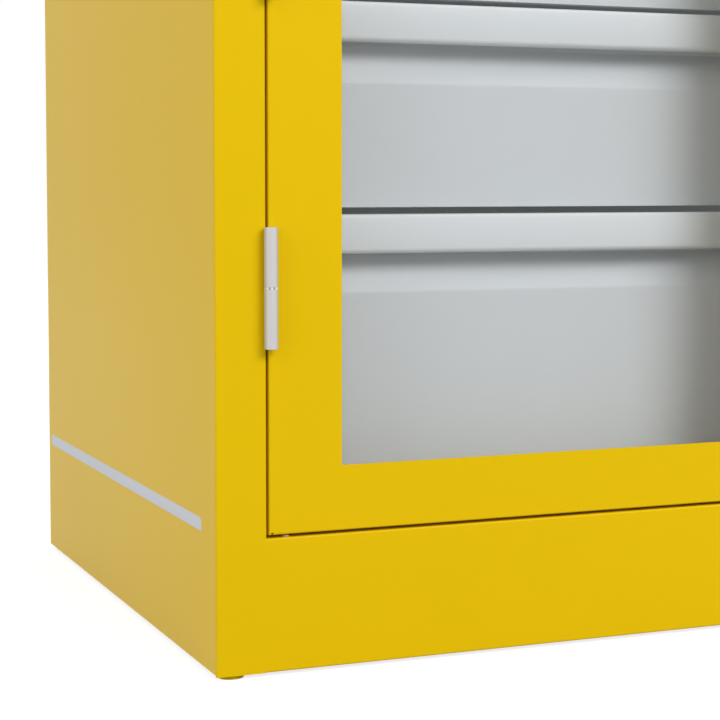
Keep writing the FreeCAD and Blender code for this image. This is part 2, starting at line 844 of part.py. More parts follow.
def drawer_box(label, low, tall):
    """An open tray behind the front, standing on the front's foot return."""
    piece = body(label)
    high = tall + " - box_side_drop"
    wall = "drawer_sheet"
    pad(piece, "z", wall, high, rectangle("box_left", "box_right", "box_near", "box_far"))
    pocket(piece, "z", "2 * " + wall, high,
           rectangle("box_left + " + wall, "box_right - " + wall,
                     "box_near + " + wall, "box_far - " + wall))
    round_edges(piece, "bend_radius", "z", ("box_left", "box_far"), ("box_right", "box_far"))
    piece.setExpression("Placement.Base.z", refer(low))


def channel(face, sign, web, span, near, far, half, thick):
    """Outline of a runner member across the runner: a web between near and far flange ends."""
    def across(words):
        return "%s + %d * (%s)" % (face, sign, words)
    web_near, web_far = across(web), across(web + " + " + span)
    inner = half + " - " + thick
    points = [(across(near), "-(%s)" % half)]
    points.append((across(far), "-(%s)" % half))
    points.append((across(far), "-(%s)" % inner))
    if web + " + " + span != far:
        points.append((web_far, "-(%s)" % inner))
        points.append((web_far, inner))
        points.append((across(far), inner))
    points.append((across(far), half))
    points.append((across(near), half))
    if web != near:
        points.append((across(near), inner))
        points.append((web_near, inner))
        points.append((web_near, "-(%s)" % inner))
        points.append((across(near), "-(%s)" % inner))
    return points


def runner(index):
    """Both telescopic runners of one drawer, as three members each, closed."""
    half = "runner_height / 2"
    middle_half = half + " - runner_sheet - runner_gap"
    inner_half = middle_half + " - runner_race - runner_gap"
    middle_web = "runner_sheet + runner_web_gap"
    middle_near = "runner_sheet + runner_gap"
    middle_far = "runner_width - runner_sheet - runner_gap"
    inner_near = middle_web + " + runner_sheet + runner_gap"
    inner_web = "runner_width - runner_sheet"
    members = (
        ("runner_fixed", "0", "0", "runner_flange", half, "runner_sheet"),
        ("runner_middle", middle_web, middle_near, middle_far, middle_half, "runner_race"),
        ("runner_inner", inner_web, inner_near, inner_web + " + runner_sheet", inner_half, "runner_sheet"),
    )
    near = "front + runner_setback"
    for name, web, flange_near, flange_far, tall, thick in members:
        rails = []
        for side, face, sign in (("left", "carrier_face_left", 1), ("right", "carrier_face_right", -1)):
            rail = doc.addObject("PartDesign::Body", "%s_%s_%d" % (name, side, index))
            pad(rail, "y", near, near + " + runner_length",
                channel(face, sign, web, "runner_sheet", flange_near, flange_far, tall, thick))
            rail.setExpression("Placement.Base.z", refer("drawer_z_%d + runner_lift" % index))
            rails.append(rail)
        group("%s_%d" % (name, index), *rails)


def drawers():
    """Three drawers, the lowest one taller, each on its own pair of runners."""
    for index in DRAWERS:
        low, tall = "drawer_z_%d" % index, "drawer_h_%d" % index
        drawer_front("drawer_front_%d" % index, low, tall)
        drawer_grip("drawer_grip_%d" % index, low, tall)
        drawer_box("drawer_box_%d" % index, low, tall)
        runner(index)


def pull_handle():
    """A bow handle on the door's right stile, held by two screws from inside."""
    piece = body("pull_handle")
    half = "handle_span / 2"
    face = "front - handle_reach"
    low, high = "handle_z - " + half, "handle_z + " + half
    thick = "handle_thick / 2"
    pad(piece, "x", "handle_x - handle_wide / 2", "handle_x + handle_wide / 2", [
        ("front", low + " - " + thick),
        ("front", low + " + " + thick),
        (face + " + handle_thick", low + " + " + thick),
        (face + " + handle_thick", high + " - " + thick),
        ("front", high + " - " + thick),
        ("front", high + " + " + thick),
        (face, high + " + " + thick),
        (face, low + " - " + thick),
    ])
    round_edges(piece, "handle_thick", "x",
                (face, high + " + " + thick), (face, low + " - " + thick))
    for spot in (low, high):
        pocket(piece, "y", "front - screw_length + door_sheet", "front",
               ("handle_x", spot, "screw_radius"))
    screws = []
    for name, spot in (("low", low), ("high", high)):
        shank = rod("screw_shank_" + name, "y", "screw_radius",
                    "handle_x", "front - screw_length + door_sheet", spot, "screw_length")
        head = rod("screw_head_" + name, "y", "screw_head",
                   "handle_x", "front + door_sheet", spot, "screw_head_height")
        screws.append(joined("handle_screw_" + name, shank, head))
    group("handle_screws", *screws)


def lock():
    """A cam lock through the door's stile, and the keeper that its cam turns behind."""
    housing_base = joined(
        "housing_blank",
        rod("housing_flange", "y", "lock_flange_radius", "handle_x", "front - lock_flange", "lock_z",
            "lock_flange"),
        rod("housing_barrel", "y", "lock_barrel_radius", "handle_x", "front", "lock_z",
            "door_depth + lock_nut_height"))
    bore = rod("housing_bore", "y", "lock_bore_radius + plug_gap", "handle_x", "front - lock_flange",
               "lock_z", "lock_flange + door_depth + lock_nut_height")
    keep(cut("lock_housing", housing_base, bore), "lock_housing")

    blank = hexagon("lock_nut_blank", "y", "lock_nut_flats", "handle_x", "door_back", "lock_z",
                    "lock_nut_height")
    hole = rod("lock_nut_bore", "y", "lock_barrel_radius + stem_gap", "handle_x", "door_back", "lock_z",
               "lock_nut_height")
    keep(cut("lock_nut", blank, hole), "lock_nut")

    plug_front = "front - lock_flange - plug_proud"
    plug_back = "post_far + cam_gap"
    plug = body("lock_plug")
    pad(plug, "y", plug_front, plug_back, ("handle_x", "lock_z", "lock_bore_radius"))
    pocket(plug, "y", plug_front, plug_front + " + keyway_deep",
           rectangle("handle_x - keyway_wide / 2", "handle_x + keyway_wide / 2",
                     "lock_z - keyway_long / 2", "lock_z + keyway_long / 2"))

    cam_back = plug_back + " + cam_thickness"
    cam = body("lock_cam")
    half = "cam_width / 2"
    pad(cam, "y", plug_back, cam_back, [
        ("handle_x - " + half, "lock_z - cam_reach"),
        ("handle_x + " + half, "lock_z - cam_reach"),
        ("handle_x + " + half, "lock_z", half + " + fit_gap"),
        ("handle_x - " + half, "lock_z"),
    ])
    pocket(cam, "y", plug_back, cam_back, ("handle_x", "lock_z", "screw_radius + fit_gap"))
    screw = joined(
        "cam_screw",
        rod("cam_screw_shank", "y", "screw_radius", "handle_x", plug_back, "lock_z", "cam_thickness"),
        rod("cam_screw_head", "y", "screw_head", "handle_x", cam_back, "lock_z", "screw_head_height"))
    keep(screw, "cam_screw")

    keeper = box("lock_keeper", "-post_in - keeper_reach", "-post_in",
                 "post_far - panel_sheet", "post_far",
                 "lock_z - keeper_height / 2", "lock_z + keeper_height / 2")
    keep(keeper, "lock_keeper")


def catch():
    """A magnet catch on the right post and its strike plate on the door."""
    near = "door_back + strike_thickness + strike_gap"
    low, high = "top - catch_drop - catch_height", "top - catch_drop"
    piece = body("magnet_catch")
    pad(piece, "z", low, high,
        rectangle("-post_in - catch_width", "-post_in", near, near + " + catch_depth"))
    round_edges(piece, "bend_radius", "z", ("-post_in - catch_width", near),
                ("-post_in - catch_width", near + " + catch_depth"))
    middle = "(%s + %s) / 2" % (low, high)
    strike = box("strike_plate", "-post_in - catch_width", "-post_in - catch_width + strike_width",
                 "door_back", "door_back + strike_thickness",
                 middle + " - strike_height / 2", middle + " + strike_height / 2")
    keep(strike, "strike_plate")


def write_parts():
    """Check every object, then write each sub-part to its own file."""
    doc.recompute()
    for item in doc.Objects:
        if "Invalid" in item.State or "Error" in item.State:
            raise RuntimeError("%s did not compute" % item.Label)
    for item in parts:
        if item.Shape.isNull() or not item.Shape.isValid():
            raise RuntimeError("%s has no valid shape" % item.Label)
    os.makedirs("parts", exist_ok=True)
    for item in parts:
        item.Shape.exportStep("parts/%s.step" % item.Label)


side_panels()
plinth()
top_rail()
rear_rail()
top_panel()
back_panel()
bottom_board()
feet()
carrier("carrier_left", "carrier_face_left", "side_in", 1)
carrier("carrier_right", "carrier_face_right", "-side_in", -1)
upper_fascia()
door_shell()
door_liner()
glazing()
door_glides()
hinges()
drawers()
pull_handle()
lock()
catch()
write_parts()
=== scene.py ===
"""Visual model of a sheet-steel drawer cabinet behind one hinged window door.

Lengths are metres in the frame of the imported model: +X right, +Y back, +Z up. The feet stand on
z = 0 and the door faces -Y. Each new piece takes its place from the CAD node that it stands for.
"""

import json
import logging
import math
from dataclasses import dataclass, field
from enum import Enum
from functools import partial
from typing import Callable, Iterable, Sequence

import bmesh
import bpy
from bmesh.types import BMEdge, BMFace, BMVert
from mathutils import Matrix, Vector

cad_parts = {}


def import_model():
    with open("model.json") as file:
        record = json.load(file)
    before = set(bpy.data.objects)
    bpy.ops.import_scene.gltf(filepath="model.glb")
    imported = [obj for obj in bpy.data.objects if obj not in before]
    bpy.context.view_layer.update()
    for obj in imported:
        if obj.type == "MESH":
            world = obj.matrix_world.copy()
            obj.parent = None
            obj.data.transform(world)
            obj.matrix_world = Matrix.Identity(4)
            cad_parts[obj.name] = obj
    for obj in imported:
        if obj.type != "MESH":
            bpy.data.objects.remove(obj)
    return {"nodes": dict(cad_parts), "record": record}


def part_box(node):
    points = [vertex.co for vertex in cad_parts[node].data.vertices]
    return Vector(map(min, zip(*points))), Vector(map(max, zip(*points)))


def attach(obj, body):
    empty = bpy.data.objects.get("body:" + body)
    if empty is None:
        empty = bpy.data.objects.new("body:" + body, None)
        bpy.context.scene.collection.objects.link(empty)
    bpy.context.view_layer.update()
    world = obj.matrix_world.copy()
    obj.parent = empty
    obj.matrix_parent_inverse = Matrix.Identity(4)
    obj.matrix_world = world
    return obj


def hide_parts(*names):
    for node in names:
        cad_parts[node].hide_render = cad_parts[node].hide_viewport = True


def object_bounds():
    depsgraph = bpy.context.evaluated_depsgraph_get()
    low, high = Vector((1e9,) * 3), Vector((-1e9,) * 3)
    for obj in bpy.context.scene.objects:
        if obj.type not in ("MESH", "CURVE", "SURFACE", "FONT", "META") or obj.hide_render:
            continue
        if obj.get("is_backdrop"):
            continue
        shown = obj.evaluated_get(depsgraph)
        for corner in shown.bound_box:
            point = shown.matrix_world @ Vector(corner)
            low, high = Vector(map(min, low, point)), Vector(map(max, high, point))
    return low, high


logging.basicConfig(level=logging.INFO, format="%(message)s")
log = logging.getLogger("drawer_cabinet")

NEAR = 2e-6
CUT_NEAR = 5e-7
MERGE = 1e-7
NOISE_LOW = 0.3
NOISE_HIGH = 0.7
NOISE_ROUGHNESS = 0.55
DRAWERS = (1, 2, 3)
FOLD_STEPS = 4
SMALL_FOLD_STEPS = 3
FINE_EDGE = 0.0001


class Body(str, Enum):
    """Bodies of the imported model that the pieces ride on."""

    ROOT = "root"
    DOOR = "door"
    LOCK_CORE = "lock_core"


class Slot(str, Enum):
    """Material slots of the record."""

    YELLOW = "yellow_powder_coat"
    GREY = "grey_powder_coat"
    BOARD = "board_laminate"
    ZINC = "zinc_plate"
    ALUMINIUM = "satin_aluminium"
    CHROME = "polished_chrome"
    PANE = "clear_pane"
    SEAL = "seal_rubber"
    BLACK = "black_plastic"
    NYLON = "white_nylon"


class Axis(Enum):
    """Directions of the frame."""

    X = Vector((1, 0, 0))
    Y = Vector((0, 1, 0))
    Z = Vector((0, 0, 1))


class Side(Enum):
    """Which side of the cabinet a piece is on, as its sign along X."""

    LEFT = -1
    RIGHT = 1


@dataclass(frozen=True)
class Extent:
    """The room that a CAD node takes at rest."""

    low: Vector
    high: Vector

    @classmethod
    def of(cls, node: str) -> "Extent":
        """The extent of a CAD node.

        Args:
            node: the node's name.

        Returns:
            Its extent in the row frame.
        """
        return cls(*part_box(node))

    @property
    def middle(self) -> Vector:
        """The point halfway between the corners."""
        return (self.low + self.high) / 2

    @property
    def size(self) -> Vector:
        """Width, depth and height."""
        return self.high - self.low


# Finishes


class Recipe:
    """A material's node tree while it is put together."""

    def __init__(self, name: str) -> None:
        """Start a material with one Principled shader.

        Args:
            name: the material's name.
        """
        self.material = bpy.data.materials.new(name)
        self.material.use_nodes = True
        self.tree = self.material.node_tree
        self.tree.nodes.clear()
        self.output = self.tree.nodes.new("ShaderNodeOutputMaterial")
        self.shader = self.tree.nodes.new("ShaderNodeBsdfPrincipled")
        self.tree.links.new(self.shader.outputs["BSDF"], self.output.inputs["Surface"])
        self.place = self.tree.nodes.new("ShaderNodeTexCoord").outputs["Object"]

    def set(self, socket: str, value: float | Sequence[float]) -> None:
        """Give one of the shader's own sockets a value."""
        self.shader.inputs[socket].default_value = value

    def link(self, value: bpy.types.NodeSocket, socket: str) -> None:
        """Lead a pattern into one of the shader's sockets."""
        self.tree.links.new(value, self.shader.inputs[socket])

    def stretched(self, factors: Sequence[float]) -> bpy.types.NodeSocket:
        """Object coordinates, stretched along the axes.

        Args:
            factors: the scale along x, y and z.

        Returns:
            The mapped coordinates.
        """
        node = self.tree.nodes.new("ShaderNodeMapping")
        node.inputs["Scale"].default_value = factors
        self.tree.links.new(self.place, node.inputs["Vector"])
        return node.outputs["Vector"]

    def noise(self, scale: float, detail: float = 2.0,
              along: Sequence[float] | None = None) -> bpy.types.NodeSocket:
        """Fractal noise from 0 to 1.

        Args:
            scale: waves a metre.
            detail: how many finer octaves lie on it.
            along: the stretch along the axes, where the pattern has a direction.

        Returns:
            The noise value.
        """
        node = self.tree.nodes.new("ShaderNodeTexNoise")
        node.inputs["Scale"].default_value = scale
        node.inputs["Detail"].default_value = detail
        node.inputs["Roughness"].default_value = NOISE_ROUGHNESS
        self.tree.links.new(self.stretched(along) if along else self.place, node.inputs["Vector"])
        return node.outputs["Fac"]

    def spread(self, value: bpy.types.NodeSocket, low: float, high: float,
               from_low: float = NOISE_LOW, from_high: float = NOISE_HIGH) -> bpy.types.NodeSocket:
        """Map a pattern on to a range.

        Args:
            value: the pattern.
            low: what its low end becomes.
            high: what its high end becomes.
            from_low: the low end of the pattern.
            from_high: the high end of the pattern.

        Returns:
            The mapped value.
        """
        node = self.tree.nodes.new("ShaderNodeMapRange")
        for socket, number in (("From Min", from_low), ("From Max", from_high),
                               ("To Min", low), ("To Max", high)):
            node.inputs[socket].default_value = number
        self.tree.links.new(value, node.inputs["Value"])
        return node.outputs["Result"]

    def blend(self, factor: bpy.types.NodeSocket, first: Sequence[float],
              second: Sequence[float]) -> bpy.types.NodeSocket:
        """A colour between two, chosen by a pattern.

        Args:
            factor: the pattern, from 0 to 1.
            first: the linear colour at 0.
            second: the linear colour at 1.

        Returns:
            The blended colour.
        """
        node = self.tree.nodes.new("ShaderNodeMix")
        node.data_type = "RGBA"
        node.inputs["A"].default_value = (*first, 1.0)
        node.inputs["B"].default_value = (*second, 1.0)
        self.tree.links.new(factor, node.inputs["Factor"])
        return node.outputs["Result"]

    def paint(self, pattern: bpy.types.NodeSocket, first: Sequence[float], second: Sequence[float],
              from_low: float = NOISE_LOW, from_high: float = NOISE_HIGH) -> None:
        """Colour the shader between two colours by a pattern.

        Args:
            pattern: the pattern.
            first: the linear colour at its low end.
            second: the linear colour at its high end.
            from_low: the low end of the pattern.
            from_high: the high end of the pattern.
        """
        share = self.spread(pattern, 0.0, 1.0, from_low, from_high)
        self.link(self.blend(share, first, second), "Base Color")

    def relief(self, *layers: tuple[bpy.types.NodeSocket, float, float]) -> None:
        """Lead one or more height patterns into the shader's normal.

        Args:
            layers: pattern, strength and height in metres of each layer, coarsest first.
        """
        below = None
        for height, strength, distance in layers:
            node = self.tree.nodes.new("ShaderNodeBump")
            node.inputs["Strength"].default_value = strength
            node.inputs["Distance"].default_value = distance
            self.tree.links.new(height, node.inputs["Height"])
            if below is not None:
                self.tree.links.new(below, node.inputs["Normal"])
            below = node.outputs["Normal"]
        self.link(below, "Normal")


def shaded(colour: Sequence[float], share: float) -> tuple[float, ...]:
    """A colour made darker or lighter by a share.

    Args:
        colour: linear red, green and blue.
        share: what each is multiplied by.

    Returns:
        The new colour.
    """
    return tuple(min(1.0, part * share) for part in colour)


@dataclass(frozen=True)
class PowderCoat:
    """Satin powder coat: fine orange peel, slight cloudiness and fine grain."""

    name: str
    colour: tuple[float, float, float]
    cloud: float = 0.985
    cloud_scale: float = 9.0
    rough: tuple[float, float] = (0.42, 0.5)
    rough_scale: float = 650.0
    specular: float = 0.2
    peel_scale: float = 420.0
    peel_strength: float = 0.35
    peel_height: float = 0.00002
    grain_scale: float = 2600.0
    grain_strength: float = 0.12
    grain_fineness: float = 3.0

    def make(self) -> bpy.types.Material:
        """Build the material.

        Returns:
            The material.
        """
        recipe = Recipe(self.name)
        recipe.paint(recipe.noise(self.cloud_scale, detail=3.0), shaded(self.colour, self.cloud), self.colour)
        recipe.link(recipe.spread(recipe.noise(self.rough_scale), *self.rough), "Roughness")
        recipe.set("Specular IOR Level", self.specular)
        recipe.relief((recipe.noise(self.peel_scale), self.peel_strength, self.peel_height),
                      (recipe.noise(self.grain_scale, detail=1.0), self.grain_strength,
                       self.peel_height / self.grain_fineness))
        return recipe.material


@dataclass(frozen=True)
class BoardLaminate:
    """Matt laminate with a faint speckle."""

    name: str
    colour: tuple[float, float, float]
    speckle: float = 0.93
    speckle_scale: float = 1600.0
    speckle_ends: tuple[float, float] = (0.42, 0.6)
    rough: tuple[float, float] = (0.5, 0.6)
    rough_scale: float = 300.0
    specular: float = 0.25
    grain_scale: float = 1100.0
    grain_strength: float = 0.2
    grain_height: float = 0.00002

    def make(self) -> bpy.types.Material:
        """Build the material.

        Returns:
            The material.
        """
        recipe = Recipe(self.name)
        recipe.paint(recipe.noise(self.speckle_scale, detail=3.0), shaded(self.colour, self.speckle),
                     self.colour, *self.speckle_ends)
        recipe.link(recipe.spread(recipe.noise(self.rough_scale), *self.rough), "Roughness")
        recipe.set("Specular IOR Level", self.specular)
        recipe.relief((recipe.noise(self.grain_scale), self.grain_strength, self.grain_height))
        return recipe.material


@dataclass(frozen=True)
class PlatedSteel:
    """Zinc-plated or plain bright steel with drawn lines and cloudy spangle."""

    name: str
    colour: tuple[float, float, float]
    rough: tuple[float, float] = (0.3, 0.45)
    drawn: tuple[float, float, float] = (60.0, 900.0, 60.0)
    drawn_strength: float = 0.12
    drawn_height: float = 0.00002
    blush: tuple[float, float, float] = (1.0, 0.985, 0.94)
    spangle_scale: float = 45.0
    grain_scale: float = 1500.0
    grain_strength: float = 0.08
    grain_height: float = 0.00001

    def make(self) -> bpy.types.Material:
        """Build the material.

        Returns:
            The material.
        """
        recipe = Recipe(self.name)
        tint = tuple(part * share for part, share in zip(self.colour, self.blush))
        recipe.paint(recipe.noise(self.spangle_scale, detail=3.0), tint, self.colour)
        recipe.set("Metallic", 1.0)
        lines = recipe.noise(1.0, detail=3.0, along=self.drawn)
        recipe.link(recipe.spread(lines, *self.rough), "Roughness")
        recipe.relief((lines, self.drawn_strength, self.drawn_height),
                      (recipe.noise(self.grain_scale), self.grain_strength, self.grain_height))
        return recipe.material


@dataclass(frozen=True)
class DrawnAluminium:
    """Satin-anodised aluminium with die lines along its length."""

    name: str
    colour: tuple[float, float, float]
    shade: float = 0.94
    rough: tuple[float, float] = (0.34, 0.44)
    metallic: float = 0.75
    drawn: tuple[float, float, float] = (3200.0, 3200.0, 18.0)
    drawn_strength: float = 0.15
    drawn_height: float = 0.00002
    grain_scale: float = 2800.0
    grain_strength: float = 0.1
    grain_height: float = 0.00001

    def make(self) -> bpy.types.Material:
        """Build the material.

        Returns:
            The material.
        """
        recipe = Recipe(self.name)
        lines = recipe.noise(1.0, along=self.drawn)
        recipe.paint(lines, shaded(self.colour, self.shade), self.colour)
        recipe.set("Metallic", self.metallic)
        recipe.link(recipe.spread(lines, *self.rough), "Roughness")
        recipe.relief((lines, self.drawn_strength, self.drawn_height),
                      (recipe.noise(self.grain_scale, detail=1.0), self.grain_strength, self.grain_height))
        return recipe.material


@dataclass(frozen=True)
class PolishedChrome:
    """Polished chrome with a faint haze of fine wipe marks."""

    name: str
    colour: tuple[float, float, float]
    shade: float = 0.96
    rough: tuple[float, float] = (0.08, 0.16)
    haze_scale: float = 140.0
    wipe_scale: float = 900.0
    wipe_strength: float = 0.05
    wipe_height: float = 0.00001

    def make(self) -> bpy.types.Material:
        """Build the material.

        Returns:
            The material.
        """
        recipe = Recipe(self.name)
        haze = recipe.noise(self.haze_scale, detail=3.0)
        recipe.paint(haze, shaded(self.colour, self.shade), self.colour)
        recipe.set("Metallic", 1.0)
        recipe.link(recipe.spread(haze, *self.rough), "Roughness")
        recipe.relief((recipe.noise(self.wipe_scale), self.wipe_strength, self.wipe_height))
        return recipe.material


@dataclass(frozen=True)
class ClearPane:
    """A clear pane, nearly unseen when looked through."""

    name: str
    colour: tuple[float, float, float]
    shade: float = 0.97
    cover: float = 0.07
    rough: tuple[float, float] = (0.03, 0.07)
    haze_scale: float = 35.0
    wave_scale: float = 18.0
    wave_strength: float = 0.03
    wave_height: float = 0.0001

    def make(self) -> bpy.types.Material:
        """Build the material.

        Returns:
            The material.
        """
        recipe = Recipe(self.name)
        haze = recipe.noise(self.haze_scale, detail=3.0)
        recipe.paint(haze, shaded(self.colour, self.shade), self.colour)
        recipe.link(recipe.spread(haze, *self.rough), "Roughness")
        recipe.set("Alpha", self.cover)
        recipe.relief((recipe.noise(self.wave_scale, detail=1.0), self.wave_strength, self.wave_height))
        return recipe.material


@dataclass(frozen=True)
class MouldedPlastic:
    """Moulded plastic or rubber with fine grain."""

    name: str
    colour: tuple[float, float, float]
    shade: float = 0.95
    shade_scale: float = 60.0
    rough: tuple[float, float] = (0.45, 0.55)
    grain_scale: float = 1800.0
    grain_strength: float = 0.3
    grain_height: float = 0.00003
    specular: float = 0.4

    def make(self) -> bpy.types.Material:
        """Build the material.

        Returns:
            The material.
        """
        recipe = Recipe(self.name)
        grain = recipe.noise(self.grain_scale)
        recipe.paint(recipe.noise(self.shade_scale), shaded(self.colour, self.shade), self.colour)
        recipe.link(recipe.spread(grain, *self.rough), "Roughness")
        recipe.set("Specular IOR Level", self.specular)
        recipe.relief((grain, self.grain_strength, self.grain_height))
        return recipe.material


Finish = (PowderCoat | BoardLaminate | PlatedSteel | DrawnAluminium | PolishedChrome | ClearPane
          | MouldedPlastic)

FINISHES: dict[Slot, Finish] = {
    Slot.YELLOW: PowderCoat("signal_yellow_powder_coat", (0.776, 0.51, 0.001), rough=(0.3, 0.36),
                            specular=0.07),
    Slot.GREY: PowderCoat("light_grey_powder_coat", (0.59, 0.62, 0.65), rough=(0.44, 0.5), specular=0.3),
    Slot.BOARD: BoardLaminate("grey_board_laminate", (0.68, 0.71, 0.77)),
    Slot.ZINC: PlatedSteel("bright_zinc_plate", (0.66, 0.67, 0.68)),
    Slot.ALUMINIUM: DrawnAluminium("satin_anodised_aluminium", (0.56, 0.545, 0.54), rough=(0.5, 0.58),
                                   metallic=0.4),
    Slot.CHROME: PolishedChrome("polished_chrome_plate", (0.5, 0.51, 0.52), rough=(0.15, 0.25)),
    Slot.PANE: ClearPane("clear_window_pane", (0.55, 0.6, 0.6)),
    Slot.SEAL: MouldedPlastic("black_seal_rubber", (0.02, 0.02, 0.02), rough=(0.65, 0.8), grain_scale=700.0),
    Slot.BLACK: MouldedPlastic("black_moulded_plastic", (0.025, 0.025, 0.028)),
    Slot.NYLON: MouldedPlastic("white_nylon_plastic", (0.8, 0.8, 0.78), rough=(0.35, 0.42), specular=0.5),
}


# The grip's coat: smoother and glossier than the grey coat, with its colour raised about 15 % as painted
# highlight, so that the grip's band shows brighter than the drawer front.
GRIP_COAT_PAINTED_LIGHTER = PowderCoat("smooth_grey_grip_coat_with_painted_highlight", (0.68, 0.715, 0.745), rough=(0.32, 0.38), specular=0.4,
                       peel_height=0.00001)


class Palette:
    """Makes each finish once and hands it out by slot or by the finish itself."""

    def __init__(self) -> None:
        """Start with no finish made."""
        self.made: dict[str, bpy.types.Material] = {}

    def of(self, slot: Slot, variant: PowderCoat | None = None) -> bpy.types.Material:
        """The material of a slot, made when it is first asked for.

        Args:
            slot: the record's slot.
            variant: a variant of the slot's finish, where a piece has its own.

        Returns:
            The material.
        """
        finish = variant or FINISHES[slot]
        if finish.name not in self.made:
            self.made[finish.name] = finish.make()
        return self.made[finish.name]


PALETTE = Palette()


# Pieces


@dataclass(frozen=True)
class Edging:
    """How a piece's sheet gets its thickness and its edges their rounding."""

    sheet: float = 0.0
    inward: bool = True
    edge: float = 0.00015
    steps: int = 2
    sharp_over: float = math.radians(40)

    def apply(self, made: bpy.types.Object) -> None:
        """Add the modifiers to an object.

        Args:
            made: the object, whose mesh is final.
        """
        if self.sheet:
            shell = made.modifiers.new("sheet_thickness", "SOLIDIFY")
            shell.thickness = self.sheet
            shell.offset = -1.0 if self.inward else 1.0
            shell.use_even_offset = True
        if self.edge:
            rounding = made.modifiers.new("edge_rounding", "BEVEL")
            rounding.width = self.edge
            rounding.segments = self.steps
            rounding.limit_method = "ANGLE"
            rounding.angle_limit = self.sharp_over
            rounding.profile = 0.5
        shading = made.modifiers.new("even_shading", "WEIGHTED_NORMAL")
        shading.keep_sharp = not self.edge


class Workpiece:
    """A piece while it is cut, folded and turned, in metres in the row frame."""

    def __init__(self, name: str) -> None:
        """Start an empty mesh.

        Args:
            name: what the finished piece is called.
        """
        self.name = name
        self.mesh = bmesh.new()

    def block(self, low: Vector, high: Vector, rounding: float = 0.0, steps: int = 3) -> list[BMFace]:
        """Add a solid block between two corners.

        Args:
            low: the lowest corner.
            high: the highest corner.
            rounding: the radius of all its edges, or 0 for sharp ones.
            steps: faces across the rounding.

        Returns:
            The block's faces.
        """
        corners = bmesh.ops.create_cube(self.mesh, size=1.0)["verts"]
        bmesh.ops.scale(self.mesh, verts=corners, vec=high - low)
        bmesh.ops.translate(self.mesh, verts=corners, vec=(low + high) / 2)
        faces = list(dict.fromkeys(face for vert in corners for face in vert.link_faces))
        if rounding:
            edges = list(dict.fromkeys(edge for face in faces for edge in face.edges))
            before = set(self.mesh.faces) - set(faces)
            self.round(edges, rounding, steps)
            faces = [face for face in self.mesh.faces if face not in before]
        return faces

    def plate(self, corners: Sequence[Vector], outward: Vector) -> BMFace:
        """Add one flat face.

        Args:
            corners: its corners in order.
            outward: the way that it has to face.

        Returns:
            The face.
        """
        face = self.mesh.faces.new([self.mesh.verts.new(corner) for corner in corners])
        face.normal_update()
        if face.normal.dot(outward) < 0:
            face.normal_flip()
        return face

    def strip(self, line: Sequence[Vector], run: Vector, outward: Vector,
              radius: float = 0.0, steps: int = FOLD_STEPS) -> None:
        """Fold a strip of sheet along a line of corners and draw it out along a run.

        Args:
            line: the corners of the strip's section.
            run: how far and which way the section is drawn.
            outward: the way that the first leg faces.
            radius: the radius of the folds, or 0 for sharp ones.
            steps: faces across a fold.
        """
        verts = [self.mesh.verts.new(corner) for corner in line]
        edges = [self.mesh.edges.new(pair) for pair in zip(verts, verts[1:])]
        drawn = bmesh.ops.extrude_edge_only(self.mesh, edges=edges)["geom"]
        moved = [item for item in drawn if isinstance(item, BMVert)]
        faces = [item for item in drawn if isinstance(item, BMFace)]
        bmesh.ops.translate(self.mesh, verts=moved, vec=run)
        bmesh.ops.recalc_face_normals(self.mesh, faces=faces)
        first = edges[0].link_faces[0]
        first.normal_update()
        if first.normal.dot(outward) < 0:
            bmesh.ops.reverse_faces(self.mesh, faces=faces)
        if radius:
            folds = [edge for face in faces for edge in face.edges if len(edge.link_faces) == 2]
            self.round(dict.fromkeys(folds), radius, steps)

    def round(self, edges: Iterable[BMEdge], radius: float, steps: int = FOLD_STEPS) -> list[BMFace]:
        """Round edges.

        Args:
            edges: the edges to round.
            radius: their radius at a square corner.
            steps: faces across the rounding.

        Returns:
            The new faces.
        """
        return bmesh.ops.bevel(self.mesh, geom=list(edges), offset=radius, offset_type="OFFSET",
                               segments=steps, profile=0.5, affect="EDGES", material=-1)["faces"]

    def round_corners(self, verts: Iterable[BMVert], radius: float, steps: int = FOLD_STEPS) -> None:
        """Round the corners of a flat face."""
        bmesh.ops.bevel(self.mesh, geom=list(verts), offset=radius, offset_type="OFFSET",
                        segments=steps, profile=0.5, affect="VERTICES", material=-1)

    def at(self, edge: BMEdge, **places: float) -> bool:
        """Whether an edge lies wholly at the given x, y or z."""
        return all(abs(vert.co["xyz".index(axis)] - value) < NEAR
                   for axis, value in places.items() for vert in edge.verts)

    def edges_at(self, **places: float) -> list[BMEdge]:
        """Edges that lie wholly at the given x, y or z."""
        return [edge for edge in self.mesh.edges if self.at(edge, **places)]

    def rims_at(self, **places: float) -> list[BMEdge]:
        """Open edges of the sheet at the given x, y or z."""
        return [edge for edge in self.edges_at(**places) if edge.is_boundary]

    def inside(self, edge: BMEdge, room: Extent) -> bool:
        """Whether an edge lies within an upright rectangle, whatever its depth.

        Args:
            edge: the edge.
            room: the rectangle's corners; their depth is left out.

        Returns:
            True where both its ends do.
        """
        low, high = room.low, room.high
        return all(low.x - NEAR < vert.co.x < high.x + NEAR and low.z - NEAR < vert.co.z < high.z + NEAR
                   for vert in edge.verts)

    def along(self, edge: BMEdge, room: Extent) -> bool:
        """Whether an edge lies on one side of an upright rectangle.

        Args:
            edge: the edge.
            room: the rectangle's corners; their depth is left out.

        Returns:
            True where it lies wholly at one of the four sides' places.
        """
        sides = ("x", room.low.x), ("x", room.high.x), ("z", room.low.z), ("z", room.high.z)
        return any(self.at(edge, **{axis: place}) for axis, place in sides)

    def faces_touching(self, low: Sequence[float], high: Sequence[float]) -> list[BMFace]:
        """Faces with a corner in a box.

        Args:
            low: the box's lowest corner.
            high: the box's highest corner.

        Returns:
            The faces.
        """
        return [face for face in self.mesh.faces
                if any(all(a - NEAR <= part <= b + NEAR for a, part, b in zip(low, vert.co, high))
                       for vert in face.verts)]

